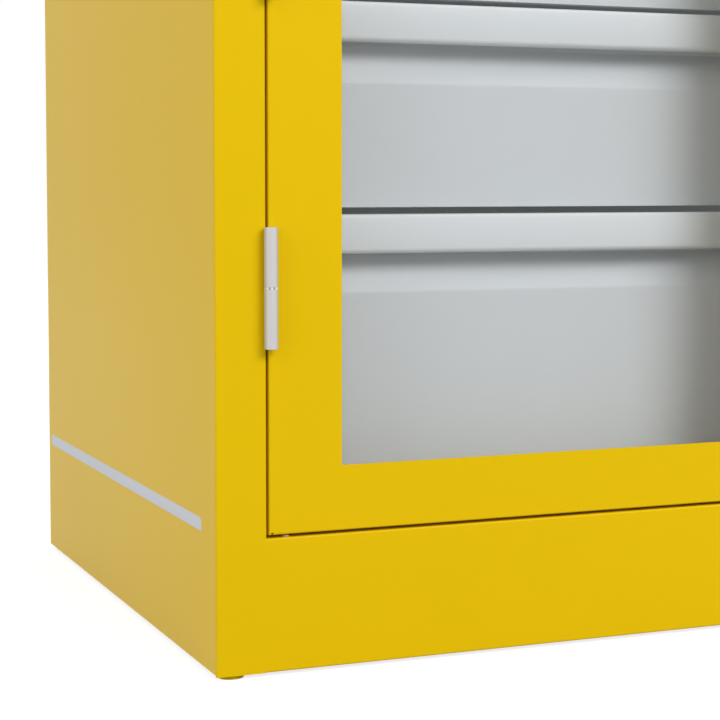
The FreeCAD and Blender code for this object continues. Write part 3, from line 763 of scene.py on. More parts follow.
    def faces_within(self, low: Sequence[float], high: Sequence[float]) -> list[BMFace]:
        """Faces whose middle lies within a box.

        Args:
            low: the box's lowest corner.
            high: the box's highest corner.

        Returns:
            The faces.
        """
        return [face for face in self.mesh.faces
                if all(a - NEAR <= part <= b + NEAR
                       for a, part, b in zip(low, face.calc_center_median(), high))]

    def slice(self, axis: Axis, places: Iterable[float],
              faces: Callable[[], Iterable[BMFace]] | None = None) -> None:
        """Cut faces across at places along an axis.

        Args:
            axis: the axis that the cuts are square to.
            places: where the cuts lie.
            faces: gives the faces to cut; all of them if left out.
        """
        for place in places:
            chosen = list(faces() if faces else self.mesh.faces)
            edges = [edge for face in chosen for edge in face.edges]
            verts = [vert for face in chosen for vert in face.verts]
            bmesh.ops.bisect_plane(self.mesh, geom=list(dict.fromkeys([*chosen, *edges, *verts])),
                                   dist=CUT_NEAR, plane_co=axis.value * place, plane_no=axis.value)

    def remove(self, faces: Iterable[BMFace]) -> None:
        """Take faces away, with the edges that only they used."""
        bmesh.ops.delete(self.mesh, geom=list(faces), context="FACES")

    def fold(self, rims: Iterable[BMEdge], by: Vector) -> list[BMEdge]:
        """Draw open edges out to a new leg of sheet.

        Args:
            rims: the open edges.
            by: which way and how far.

        Returns:
            The leg's new open edges.
        """
        drawn = bmesh.ops.extrude_edge_only(self.mesh, edges=list(rims))["geom"]
        bmesh.ops.translate(self.mesh, verts=[v for v in drawn if isinstance(v, BMVert)], vec=by)
        moved = {v for v in drawn if isinstance(v, BMVert)}
        return [e for e in drawn if isinstance(e, BMEdge) and set(e.verts) <= moved]

    def turned(self, profile: Sequence[tuple[float, float]], centre: Vector, axis: Axis,
               steps: int = 48) -> None:
        """Turn a profile once round an axis and close it.

        Args:
            profile: radius and height of each corner, the first and the last on the axis.
            centre: the point where height is 0.
            axis: the axis that heights run along.
            steps: faces round the turn.
        """
        side = Axis.X.value if axis is not Axis.X else Axis.Z.value
        verts = [self.mesh.verts.new(centre + side * radius + axis.value * height)
                 for radius, height in profile]
        edges = [self.mesh.edges.new(pair) for pair in zip(verts, verts[1:])]
        bmesh.ops.spin(self.mesh, geom=verts + edges, cent=centre, axis=axis.value,
                       angle=math.tau, steps=steps, use_merge=True, use_duplicate=False)
        bmesh.ops.remove_doubles(self.mesh, verts=self.mesh.verts, dist=MERGE)

    def face_out(self, probe: Vector, outward: Vector) -> None:
        """Turn a whole open shell so that its face nearest a point looks outward.

        Args:
            probe: a point on the shell.
            outward: the way that the face there has to look.
        """
        bmesh.ops.recalc_face_normals(self.mesh, faces=self.mesh.faces)
        nearest = min(self.mesh.faces, key=lambda face: (face.calc_center_median() - probe).length)
        if nearest.normal.dot(outward) < 0:
            bmesh.ops.reverse_faces(self.mesh, faces=self.mesh.faces)

    def close_out(self) -> None:
        """Merge doubles and turn every closed shell's faces outward."""
        bmesh.ops.remove_doubles(self.mesh, verts=self.mesh.verts, dist=MERGE)
        bmesh.ops.recalc_face_normals(self.mesh, faces=self.mesh.faces)

    def finish(self, body: str, slot: Slot, *nodes: str, edging: Edging = Edging(),
               variant: PowderCoat | None = None) -> bpy.types.Object:
        """Turn the mesh into a dressed object that rides on its body.

        Args:
            body: the CAD body that the piece rides on.
            slot: the record's slot that its finish comes from.
            nodes: CAD nodes that the piece stands for.
            edging: sheet thickness and edge rounding.
            variant: a variant of the slot's finish.

        Returns:
            The finished object.
        """
        data = bpy.data.meshes.new(self.name)
        self.mesh.to_mesh(data)
        self.mesh.free()
        data.shade_smooth()
        made = bpy.data.objects.new(self.name, data)
        bpy.context.collection.objects.link(made)
        edging.apply(made)
        data.materials.append(PALETTE.of(slot, variant))
        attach(made, str(body.value if isinstance(body, Body) else body))
        if nodes:
            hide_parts(*nodes)
        return made


# Carcase


@dataclass
class Carcase:
    """Sides, plinth and top rail welded to one shell, with cap, back, board and inner panels."""

    sheet: float = 0.0012
    fold: float = 0.0012
    mouth_fold: float = 0.0016
    post_return: float = 0.026
    shelf_depth: float = 0.030
    shelf_lip: float = 0.012
    plinth_foot: float = 0.015
    side_lift: float = 0.001
    bottom_return: float = 0.008
    hem_stop: float = 0.004
    rear_return: float = 0.020
    front_lap: float = 0.0024
    board_round: float = 0.0035
    board_round_steps: int = 6
    slot_round_steps: int = 5
    cap_edge: float = 0.00072
    cap_lip_gap: float = 0.0002
    cap_lip_inset: float = 0.03
    channel_sheet: float = 0.0015
    carrier_foot: float = 0.018
    clinch_radius: float = 0.0042
    clinch_depth: float = 0.0009
    clinch_margin: float = 0.032
    clinch_rows: int = 9
    clinch_cuts: int = 9
    hook_wide: float = 0.005
    hook_tall: float = 0.010
    hook_pitch: float = 0.05
    hook_margin: float = 0.012
    hook_start: float = 0.02
    side: Extent = field(default_factory=lambda: Extent.of("side_panel_left"))
    plinth: Extent = field(default_factory=lambda: Extent.of("plinth_panel"))
    rail: Extent = field(default_factory=lambda: Extent.of("top_rail"))
    board: Extent = field(default_factory=lambda: Extent.of("bottom_board"))
    cap: Extent = field(default_factory=lambda: Extent.of("top_panel"))

    def build(self) -> None:
        """Make every piece of the carcase."""
        self.shell()
        self.cap_sheet()
        self.back_sheet()
        self.bottom()
        self.carriers()
        self.fascia()
        self.rear_channel()

    def shell(self) -> None:
        """The welded shell: one wrap of sheet with the door's opening folded in."""
        left, front, base = self.side.low
        rear, top, post = self.side.high.y, self.side.high.z, self.side.high.x
        piece = Workpiece("carcase_shell")
        line = [(left + self.rear_return, rear), (left, rear), (left, front),
                (-left, front), (-left, rear), (-left - self.rear_return, rear)]
        piece.strip([Vector((x, y, base)) for x, y in line], Vector((0, 0, top - base)), Axis.Y.value)
        low, high = self.plinth.high.z, self.rail.low.z
        opening = Extent(Vector((post, front, low)), Vector((-post, front, high)))
        front_faces = partial(piece.faces_within, (left, front, base), (-left, front, top))
        piece.slice(Axis.Z, (low, high), front_faces)
        piece.slice(Axis.X, (post, -post), front_faces)
        piece.remove(piece.faces_within((post, front, low), (-post, front, high)))
        for side in Side:
            self.cut_side(piece, side)
        mouth = [edge for edge in piece.rims_at(y=front) if piece.inside(edge, opening)]
        piece.fold(mouth, Vector((0, self.post_return, 0)))
        shelf = piece.fold(piece.rims_at(y=front + self.post_return, z=low),
                           Vector((0, self.shelf_depth - self.post_return, 0)))
        piece.fold(shelf, Vector((0, 0, -self.shelf_lip)))
        foot = [edge for edge in piece.rims_at(y=front, z=base)
                if all(abs(v.co.x) < -post + NEAR for v in edge.verts)]
        piece.fold(foot, Vector((0, self.plinth_foot, 0)))
        mouth = [edge for edge in piece.edges_at(y=front)
                 if not edge.is_boundary and piece.inside(edge, opening) and piece.along(edge, opening)]
        piece.round(mouth, self.mouth_fold)
        corners = [edge for x in (left, -left) for y in (front, rear) for edge in piece.edges_at(x=x, y=y)]
        piece.round(corners, self.fold)
        bottom = [edge for edge in piece.edges_at(y=front, z=base) if not edge.is_boundary]
        piece.round(bottom, self.fold, SMALL_FOLD_STEPS)
        self.clinch(piece)
        piece.face_out(Vector((left, *self.side.middle.yz)), -Axis.X.value)
        piece.finish(Body.ROOT, Slot.YELLOW, "side_panel_left", "side_panel_right", "plinth_panel",
                     "top_rail", edging=Edging(sheet=self.sheet))

    def clinch(self, piece: Workpiece) -> None:
        """Press a row of shallow round marks into each rear return, where it holds the back.

        Args:
            piece: the shell.
        """
        rear, radius = self.side.high.y, self.clinch_radius
        column = self.side.low.x + self.rear_return / 2
        low, high = self.side.low.z + self.clinch_margin, self.side.high.z - self.clinch_margin
        rises = [low + (high - low) * row / (self.clinch_rows - 1) for row in range(self.clinch_rows)]
        for place in (column, -column):
            near, far = place - self.rear_return / 2, place + self.rear_return / 2
            whole = partial(piece.faces_within, (near, rear, self.side.low.z), (far, rear, self.side.high.z))
            for rise in rises:
                beside = partial(piece.faces_within, (near, rear, rise - radius), (far, rear, rise + radius))
                piece.slice(Axis.Z, (rise - radius, rise + radius), whole)
                piece.slice(Axis.X, (place - radius, place + radius), beside)
                square = piece.faces_within((place - radius, rear, rise - radius),
                                            (place + radius, rear, rise + radius))
                edges = list(dict.fromkeys(edge for face in square for edge in face.edges))
                bmesh.ops.subdivide_edges(piece.mesh, edges=edges, cuts=self.clinch_cuts,
                                          use_grid_fill=True)
        for vert in piece.mesh.verts:
            if abs(vert.co.y - rear) > NEAR:
                continue
            for place in (column, -column):
                away = min(math.hypot(vert.co.x - place, vert.co.z - rise) for rise in rises) / radius
                if away < 1:
                    vert.co.y -= self.clinch_depth * (1 - away ** 2) ** 2

    def cut_side(self, piece: Workpiece, side: Side) -> None:
        """Cut the slot for the board and the lifted bottom edge out of one side.

        Args:
            piece: the shell.
            side: which side is cut.
        """
        left, front, base = self.side.low
        rear, top = self.side.high.y, self.side.high.z
        place = left * -side.value
        near, far = self.board.low.y, self.board.high.y
        floor, roof = self.board.low.z, self.board.high.z
        lift, lap = base + self.side_lift, front + self.front_lap
        wall = partial(self.wall_faces, piece, place)
        piece.slice(Axis.Z, (lift, floor, roof), partial(wall, (front, rear), (base, top)))
        piece.slice(Axis.Y, (lap, rear - self.hem_stop), partial(wall, (front, rear), (base, floor)))
        piece.slice(Axis.Y, (near, far), partial(wall, (front, rear), (floor, roof)))
        self.round_slot(piece, place)
        half_slot = (far - near) * (roof - floor) / 2
        piece.remove([face for face in wall((near, far), (floor, roof)) if face.calc_area() > half_slot])
        piece.remove(wall((lap, rear), (base, lift)))
        ends = sorted((place, place - side.value * self.rear_return))
        piece.slice(Axis.Z, (lift,), partial(piece.faces_within, (ends[0], rear, base), (ends[1], rear, top)))
        piece.remove(piece.faces_within((ends[0], rear, base), (ends[1], rear, lift)))
        hem = [edge for edge in piece.rims_at(x=place, z=lift)
               if all(v.co.y < rear - self.hem_stop + NEAR for v in edge.verts)]
        piece.fold(hem, Vector((-side.value * self.bottom_return, 0, 0)))

    @staticmethod
    def wall_faces(piece: Workpiece, place: float, depths: tuple[float, float],
                   heights: tuple[float, float]) -> list[BMFace]:
        """Faces of one side wall.

        Args:
            piece: the shell.
            place: the wall's x.
            depths: the least and the greatest y.
            heights: the least and the greatest z.

        Returns:
            The faces whose middle lies there.
        """
        return piece.faces_within((place, depths[0], heights[0]), (place, depths[1], heights[1]))

    def round_slot(self, piece: Workpiece, place: float) -> None:
        """Round the slot's front top corner as the board's edge is rounded.

        Args:
            piece: the shell.
            place: the side's x.
        """
        radius, steps = self.board_round, self.slot_round_steps
        low, high = self.board.low, self.board.high
        centre = Vector((place, low.y + radius, high.z - radius))
        spots = [centre + radius * Vector((0, -math.cos(turn), math.sin(turn)))
                 for turn in (math.pi / 2 * index / steps for index in range(steps + 1))]
        for first, second in zip(spots, spots[1:]):
            along = second - first
            normal = Vector((0, -along.z, along.y))
            slot = max(self.wall_faces(piece, place, (low.y, high.y), (low.z, high.z)),
                       key=BMFace.calc_area)
            bmesh.ops.bisect_plane(piece.mesh, geom=[slot, *slot.edges, *slot.verts], dist=CUT_NEAR,
                                   plane_co=first, plane_no=normal)

    def cap_sheet(self) -> None:
        """The cap: a flat sheet with rounded corners and a lip inside each side."""
        low, high = self.cap.low, self.cap.high
        seam = self.side.high.z
        piece = Workpiece("cap_sheet")
        piece.block(Vector((low.x, low.y, seam)), high)
        uprights = [edge for x in (low.x, high.x) for y in (low.y, high.y)
                    for edge in piece.edges_at(x=x, y=y)]
        piece.round(uprights, self.fold)
        piece.round(piece.edges_at(z=high.z), self.cap_edge, SMALL_FOLD_STEPS)
        for side in Side:
            inner = side.value * (high.x - self.sheet - self.cap_lip_gap)
            ends = sorted((inner, inner - side.value * self.sheet))
            piece.block(Vector((ends[0], low.y + self.cap_lip_inset, low.z)),
                        Vector((ends[1], high.y - self.cap_lip_inset, seam)))
        piece.close_out()
        piece.finish(Body.ROOT, Slot.YELLOW, "top_panel")

    def back_sheet(self) -> None:
        """The back: a flat sheet inside the returns of the sides."""
        back = Extent.of("back_panel")
        piece = Workpiece("back_sheet")
        piece.block(back.low, back.high)
        piece.close_out()
        piece.finish(Body.ROOT, Slot.YELLOW, "back_panel")

    def bottom(self) -> None:
        """The bottom board, whose ends show in the slots of the sides."""
        low, high = self.board.low, self.board.high
        piece = Workpiece("bottom_board_panel")
        piece.block(low, high)
        piece.round(piece.edges_at(y=low.y, z=high.z), self.board_round, self.board_round_steps)
        piece.close_out()
        piece.finish(Body.ROOT, Slot.BOARD, "bottom_board", edging=Edging(edge=FINE_EDGE))

    def carriers(self) -> None:
        """The folded panels that carry the runners, with two rows of hook slots each."""
        for side in Side:
            node = "carrier_" + side.name.lower()
            room = Extent.of(node)
            face, wall = room.high.x, room.low.x
            if side is Side.RIGHT:
                face, wall = wall, face
            near, far = room.low.y, room.high.y
            line = [(wall, near + self.carrier_foot), (wall, near), (face, near),
                    (face, far), (wall, far), (wall, far - self.carrier_foot)]
            piece = Workpiece("runner_carrier_" + side.name.lower())
            piece.strip([Vector((x, y, room.low.z)) for x, y in line], Vector((0, 0, room.size.z)),
                        Axis.X.value * side.value, self.fold)
            rows = near + self.hook_margin, far - self.hook_margin - self.hook_wide
            self.punch(piece, face, rows, room)
            piece.finish(Body.ROOT, Slot.GREY, node, edging=Edging(sheet=self.sheet, edge=FINE_EDGE))

    def punch(self, piece: Workpiece, face: float, rows: Sequence[float], room: Extent) -> None:
        """Punch upright rows of slots through a carrier's face.

        Args:
            piece: the carrier.
            face: the face's x.
            rows: the near edge of each row.
            room: the carrier's extent.
        """
        low, high = room.low, room.high
        on_face = partial(piece.faces_within, (face, low.y, low.z), (face, high.y, high.z))
        count = int((room.size.z - 2 * self.hook_start) / self.hook_pitch)
        heights = [low.z + self.hook_start + self.hook_pitch * index for index in range(count + 1)]
        for near in rows:
            piece.slice(Axis.Y, (near, near + self.hook_wide), on_face)
        for near in rows:
            far = near + self.hook_wide
            in_row = partial(piece.faces_within, (face, near, low.z), (face, far, high.z))
            for height in heights:
                piece.slice(Axis.Z, (height, height + self.hook_tall), in_row)
                piece.remove(piece.faces_within((face, near, height), (face, far, height + self.hook_tall)))

    def fascia(self) -> None:
        """The fixed strip over the top drawer."""
        room = Extent.of("upper_fascia")
        line = [(room.high.y, room.low.z), (room.low.y, room.low.z),
                (room.low.y, room.high.z), (room.high.y, room.high.z)]
        piece = Workpiece("fixed_fascia")
        piece.strip([Vector((room.low.x, y, z)) for y, z in line], Vector((room.size.x, 0, 0)),
                    -Axis.Z.value, self.fold)
        piece.finish(Body.ROOT, Slot.GREY, "upper_fascia", edging=Edging(sheet=self.sheet))

    def rear_channel(self) -> None:
        """The folded channel under the back of the board."""
        room = Extent.of("rear_rail")
        line = [(room.low.y, room.low.z), (room.high.y, room.low.z),
                (room.high.y, room.high.z), (room.low.y, room.high.z)]
        piece = Workpiece("rear_channel")
        piece.strip([Vector((room.low.x, y, z)) for y, z in line], Vector((room.size.x, 0, 0)),
                    -Axis.Z.value, self.fold)
        piece.finish(Body.ROOT, Slot.YELLOW, "rear_rail", edging=Edging(sheet=self.channel_sheet))


@dataclass
class LevellingFoot:
    """One foot: a low disc with a threaded stem."""

    place: str
    chamfer: float = 0.0002
    stem: float = 0.004
    thread_pitch: float = 0.00125
    thread_depth: float = 0.0004

    def build(self) -> None:
        """Turn the foot."""
        node = "foot_" + self.place
        room = Extent.of(node)
        centre = Vector((room.middle.x, room.middle.y, 0.0))
        radius, stem, disc = room.size.x / 2, self.stem, Extent.of("side_panel_left").low.z
        profile = [(0.0, 0.0), (radius - self.chamfer, 0.0), (radius, self.chamfer),
                   (radius, disc - self.chamfer), (radius - self.chamfer, disc), (stem, disc)]
        height = disc + self.thread_pitch
        while height < room.high.z - self.thread_pitch:
            profile.append((stem, height))
            profile.append((stem - self.thread_depth, height + self.thread_pitch / 2))
            height += self.thread_pitch
        profile += [(stem - self.thread_depth, room.high.z), (0.0, room.high.z)]
        piece = Workpiece("levelling_foot_" + self.place)
        piece.turned(profile, centre, Axis.Z)
        piece.close_out()
        piece.finish(Body.ROOT, Slot.YELLOW, node, edging=Edging(edge=0.0))


# Door


@dataclass
class Door:
    """The door: folded skin, inner liner, pane, seal and small fittings."""

    sheet: float = 0.0012
    fold: float = 0.0013
    collar_round: float = 0.0015
    liner_return: float = 0.006
    notch_from: float = 0.0015
    notch_wide: float = 0.0014
    notch_tall: float = 0.0018
    pane_edge: float = 0.0004
    glide_radius: float = 0.0026
    glide_share: float = 0.72
    bumper_radius: float = 0.005
    bumper_rise: float = 0.0022
    bumper_inset: float = 0.03
    bumper_lift: float = 0.02
    bumper_shares: tuple[tuple[float, float], ...] = ((0.0, 1.0), (0.6, 0.9), (0.92, 0.5), (1.0, 0.0),
                                                      (0.0, 0.0))
    pane_lap: float = 0.012
    seal_overhang: float = 0.0005
    collar_margin: float = 0.006
    probe_inset: float = 0.02
    dome_steps: int = 6
    shell: Extent = field(default_factory=lambda: Extent.of("door_shell"))
    window: Extent = field(init=False)

    def __post_init__(self) -> None:
        """Work out the opening in the skin: the pane's edge less its lap."""
        pane, lap = Extent.of("window_pane"), Vector((self.pane_lap, 0, self.pane_lap))
        self.window = Extent(pane.low + lap, pane.high - lap)

    @staticmethod
    def sheet_plate(piece: Workpiece, room: Extent, depth: float, outward: Vector) -> None:
        """Add one flat upright face as large as a room.

        Args:
            piece: the piece that gets it.
            room: the room whose width and height it takes.
            depth: its y.
            outward: the way that it faces.
        """
        low, high = room.low, room.high
        spots = (low.x, low.z), (high.x, low.z), (high.x, high.z), (low.x, high.z)
        piece.plate([Vector((x, depth, z)) for x, z in spots], outward)

    @staticmethod
    def cut_hole(piece: Workpiece, hole: Extent, depth: float) -> None:
        """Cut an opening out of a flat upright face.

        Args:
            piece: the piece that is cut.
            hole: the opening's width and height.
            depth: the face's y.
        """
        low, high = hole.low, hole.high
        piece.slice(Axis.X, (low.x, high.x))
        piece.slice(Axis.Z, (low.z, high.z))
        piece.remove(piece.faces_within((low.x, depth, low.z), (high.x, depth, high.z)))

    def build(self) -> None:
        """Make every piece of the door."""
        self.skin()
        self.liner()
        self.glazing()
        self.glides()
        self.bumpers()

    def skin(self) -> None:
        """The outer tray, with the window cut out and a relief notch at each corner."""
        low, high = self.shell.low, self.shell.high
        front = low.y
        piece = Workpiece("door_skin")
        self.sheet_plate(piece, self.shell, front, -Axis.Y.value)
        self.cut_hole(piece, self.window, front)
        for side in (low.x, high.x):
            inward = math.copysign(1.0, -side)
            cuts = sorted((side + inward * self.notch_from,
                           side + inward * (self.notch_from + self.notch_wide)))
            for edge, upward in ((low.z, 1.0), (high.z, -1.0)):
                level = edge + upward * self.notch_tall
                floor, roof = sorted((edge, level))
                corner = partial(piece.faces_touching, (min(side, cuts[0]), front, floor),
                                 (max(side, cuts[1]), front, roof))
                piece.slice(Axis.X, cuts, corner)
                piece.slice(Axis.Z, (level,), corner)
                piece.remove(piece.faces_within((cuts[0], front, floor), (cuts[1], front, roof)))
        rims = [edge for edge in piece.mesh.edges if edge.is_boundary and piece.along(edge, self.shell)]
        piece.fold(rims, Vector((0, self.shell.size.y, 0)))
        folds = [edge for edge in piece.edges_at(y=front)
                 if not edge.is_boundary and piece.along(edge, self.shell)]
        piece.round(folds, self.fold, SMALL_FOLD_STEPS)
        probe = Vector((low.x + self.probe_inset, front, high.z - self.probe_inset))
        piece.face_out(probe, -Axis.Y.value)
        piece.finish(Body.DOOR, Slot.YELLOW, "door_shell", edging=Edging(sheet=self.sheet))

    def liner(self) -> None:
        """The inner sheet, drawn to a collar round the pane."""
        room, pane = Extent.of("door_liner"), Extent.of("window_pane")
        margin = Vector((self.collar_margin, 0, self.collar_margin))
        hole = Extent(self.window.low - margin, self.window.high + margin)
        back = room.high.y
        piece = Workpiece("door_inner_sheet")
        self.sheet_plate(piece, room, back, Axis.Y.value)
        self.cut_hole(piece, hole, back)
        collar = [edge for edge in piece.mesh.edges if edge.is_boundary and piece.inside(edge, hole)]
        outer = [edge for edge in piece.mesh.edges if edge.is_boundary and edge not in collar]
        piece.fold(collar, Vector((0, pane.high.y - back, 0)))
        piece.fold(outer, Vector((0, -self.liner_return, 0)))
        rounds = [edge for edge in piece.edges_at(y=back) if edge.calc_face_angle(0.0) > 1.0]
        piece.round(rounds, self.collar_round)
        probe = Vector((room.low.x + self.probe_inset, back, room.high.z - self.probe_inset))
        piece.face_out(probe, Axis.Y.value)
        piece.finish(Body.DOOR, Slot.YELLOW, "door_liner", edging=Edging(sheet=self.sheet))

    def glazing(self) -> None:
        """The pane with ground edges, and the flat seal between it and the skin."""
        pane = Extent.of("window_pane")
        piece = Workpiece("clear_pane")
        piece.block(pane.low, pane.high)
        piece.close_out()
        piece.finish(Body.DOOR, Slot.PANE, "window_pane", edging=Edging(edge=self.pane_edge))
        seal = Extent.of("pane_seal")
        overhang = Vector((self.seal_overhang, 0, self.seal_overhang))
        hole = Extent(self.window.low - overhang, self.window.high + overhang)
        ring = Workpiece("flat_pane_seal")
        self.sheet_plate(ring, seal, seal.low.y, -Axis.Y.value)
        self.cut_hole(ring, hole, seal.low.y)
        ring.finish(Body.DOOR, Slot.SEAL, "pane_seal", edging=Edging(sheet=seal.size.y, edge=FINE_EDGE))

    def glides(self) -> None:
        """The two low domes on the plinth that carry the closed door."""
        room = Extent.of("door_glides")
        radius, rise = self.glide_radius, room.size.z * self.glide_share
        piece = Workpiece("door_glide_domes")
        dome = [(radius * math.sin(turn), rise * math.cos(turn))
                for turn in (math.pi / 2 * step / self.dome_steps for step in range(self.dome_steps + 1))]
        for side in Side:
            middle = side.value * (room.high.x - radius)
            piece.turned([(0.0, rise), *dome[1:], (0.0, 0.0)],
                         Vector((middle, room.low.y + radius, room.low.z)), Axis.Z, steps=32)
        piece.close_out()
        piece.finish(Body.ROOT, Slot.NYLON, "door_glides", edging=Edging(edge=0.0))

    def bumpers(self) -> None:
        """Two soft dots on the inner sheet, on which the door comes to rest."""
        room = Extent.of("door_liner")
        piece = Workpiece("door_bumpers")
        profile = [(self.bumper_radius * out, self.bumper_rise * up) for out, up in self.bumper_shares]
        for height in (room.low.z + self.bumper_lift, room.high.z - self.bumper_lift):
            centre = Vector((room.high.x - self.bumper_inset, room.high.y, height))
            piece.turned(profile, centre, Axis.Y, steps=24)
        piece.close_out()
        piece.finish(Body.DOOR, Slot.SEAL, edging=Edging(edge=0.0))


@dataclass
class Hinge:
    """One lift-off hinge: two fluted barrels with a collar between them."""

    place: str
    flutes: int = 8
    steps_a_flute: int = 18
    flute_turn: float = math.radians(11)
    flute_depth: float = 0.00022
    flute_narrowing: float = 3.0
    end_round: float = 0.00025
    notch_depth: float = 0.002
    notch_narrowing: float = 5.0
    lug_near: float = 0.0012
    lug_far: float = 0.0030
    collar_step: float = 0.0001
    collar_thickness: float = 0.0015
    lug_inset: float = 0.0004

    def build(self) -> None:
        """Make both barrels."""
        for half, body in (("frame", Body.ROOT), ("door", Body.DOOR)):
            self.barrel(half, body)

    @staticmethod
    def spot() -> tuple[float, float, float]:
        """The hinge line and its barrels' size.

        Returns:
            The line's x and y, and the barrels' radius.
        """
        pin, barrel = Extent.of("hinge_pin_lower"), Extent.of("hinge_door_lower")
        return pin.middle.x, pin.middle.y, pin.middle.y - barrel.low.y

    def fluted(self, piece: Workpiece, centre: Vector, radius: float, depth: float,
               narrowing: float) -> list[BMFace]:
        """Add a disc whose rim is drawn in at even steps.

        Args:
            piece: the piece that gets the disc.
            centre: the disc's middle.
            radius: its radius at the crests.
            depth: how deep the grooves are.
            narrowing: the power that makes the grooves narrower than the crests.

        Returns:
            The disc's face.
        """
        steps = self.flutes * self.steps_a_flute
        verts = bmesh.ops.create_circle(piece.mesh, cap_ends=True, segments=steps, radius=radius,
                                        matrix=Matrix.Translation(centre))["verts"]
        for vert in verts:
            out = vert.co - centre
            turn = math.atan2(out.x, -out.y) - self.flute_turn
            wave = 0.5 + 0.5 * math.cos(self.flutes * turn)
            vert.co -= out.normalized() * depth * wave ** narrowing
        return list(dict.fromkeys(face for vert in verts for face in vert.link_faces))

    @staticmethod
    def drawn(piece: Workpiece, disc: list[BMFace], height: float) -> None:
        """Draw a disc up to a closed bar.

        Args:
            piece: the piece that holds it.
            disc: the disc's face.
            height: how tall the bar gets.
        """
        moved = bmesh.ops.extrude_face_region(piece.mesh, geom=disc)["geom"]
        verts = [item for item in moved if isinstance(item, BMVert)]
        bmesh.ops.translate(piece.mesh, verts=verts, vec=Vector((0, 0, height)))

    def barrel(self, half: str, body: Body) -> None:
        """One fluted barrel with the lug that welds it to its carrier.

        Args:
            half: frame or door.
            body: the body that it rides on.
        """
        node = "hinge_%s_%s" % (half, self.place)
        room = Extent.of(node)
        x, y, radius = self.spot()
        piece = Workpiece("hinge_barrel_%s_%s" % (half, self.place))
        disc = self.fluted(piece, Vector((x, y, room.low.z)), radius, self.flute_depth, self.flute_narrowing)
        self.drawn(piece, disc, room.size.z)
        ends = [edge for z in (room.low.z, room.high.z) for edge in piece.edges_at(z=z)]
        piece.round(ends, self.end_round, 2)
        side = -1.0 if body is Body.ROOT else 1.0
        lug = sorted((x + side * self.lug_near, x + side * self.lug_far))
        piece.block(Vector((lug[0], y, room.low.z + self.lug_inset)),
                    Vector((lug[1], room.high.y, room.high.z - self.lug_inset)))
        piece.close_out()
        piece.finish(body, Slot.ALUMINIUM, node, edging=Edging(edge=0.0))

    def collar(self, piece: Workpiece) -> None:
        """Add the white collar between the barrels, notched where the flutes meet it.

        Args:
            piece: the piece that gets the collar.
        """
        x, y, radius = self.spot()
        low = Extent.of("hinge_frame_" + self.place).high.z
        disc = self.fluted(piece, Vector((x, y, low)), radius - self.collar_step,
                           self.notch_depth, self.notch_narrowing)
        self.drawn(piece, disc, self.collar_thickness)


@dataclass
class PullHandle:
    """A bow handle: one bar with rounded section, bent at both ends."""

    section_round: float = 0.0028
    bend: float = 0.008
    bend_steps: int = 8
    bar: float = 0.010

    def build(self) -> None:
        """Draw the section out of the door, round the bends and back."""
        room = Extent.of("pull_handle")
        wide, half = room.size.x, self.bar / 2
        low, high = room.low.z + half, room.high.z - half
        reach = room.size.y - half
        piece = Workpiece("bow_handle")
        corners = [Vector((room.middle.x + a * wide / 2, room.high.y, low + b * half))
                   for a, b in ((-1, -1), (1, -1), (1, 1), (-1, 1))]
        section = piece.plate(corners, Axis.Y.value)
        piece.round_corners(section.verts, self.section_round)
        knee = room.high.y + self.bend - reach
        lead = self.draw(piece, list(piece.mesh.faces), Vector((0, self.bend - reach, 0)))
        lead = self.turn(piece, lead, Vector((0, knee, low + self.bend)))
        lead = self.draw(piece, lead, Vector((0, 0, high - low - 2 * self.bend)))
        lead = self.turn(piece, lead, Vector((0, knee, high - self.bend)))
        self.draw(piece, lead, Vector((0, reach - self.bend, 0)))
        piece.close_out()
        piece.finish(Body.DOOR, Slot.ALUMINIUM, "pull_handle", edging=Edging(edge=0.0))

    @staticmethod
    def end_of(lead: list[BMFace]) -> list[BMFace | BMEdge | BMVert]:
        """The end face with its edges and corners, so that it goes once the section is drawn on.

        Args:
            lead: the end face.

        Returns:
            The face, its edges and its corners.
        """
        parts = [part for face in lead for part in (*face.edges, *face.verts)]
        return list(dict.fromkeys([*lead, *parts]))

    def draw(self, piece: Workpiece, lead: list[BMFace], by: Vector) -> list[BMFace]:
        """Draw the section on in a straight run.

        Args:
            piece: the handle.
            lead: the section's face.
            by: which way and how far.

        Returns:
            The face at the new end.
        """
        drawn = bmesh.ops.extrude_face_region(piece.mesh, geom=self.end_of(lead))["geom"]
        bmesh.ops.translate(piece.mesh, verts=[item for item in drawn if isinstance(item, BMVert)], vec=by)
        return [item for item in drawn if isinstance(item, BMFace)]

    def turn(self, piece: Workpiece, lead: list[BMFace], centre: Vector) -> list[BMFace]:
        """Draw the section on round a quarter bend about an axis along X.

        Args:
            piece: the handle.
            lead: the section's face.
            centre: a point on the axis.

        Returns:
            The face at the new end.
        """
        spun = bmesh.ops.spin(piece.mesh, geom=self.end_of(lead), cent=centre, axis=Axis.X.value,
                              angle=-math.pi / 2, steps=self.bend_steps, use_merge=False,
                              use_duplicate=False)["geom_last"]
        return [item for item in spun if isinstance(item, BMFace)]


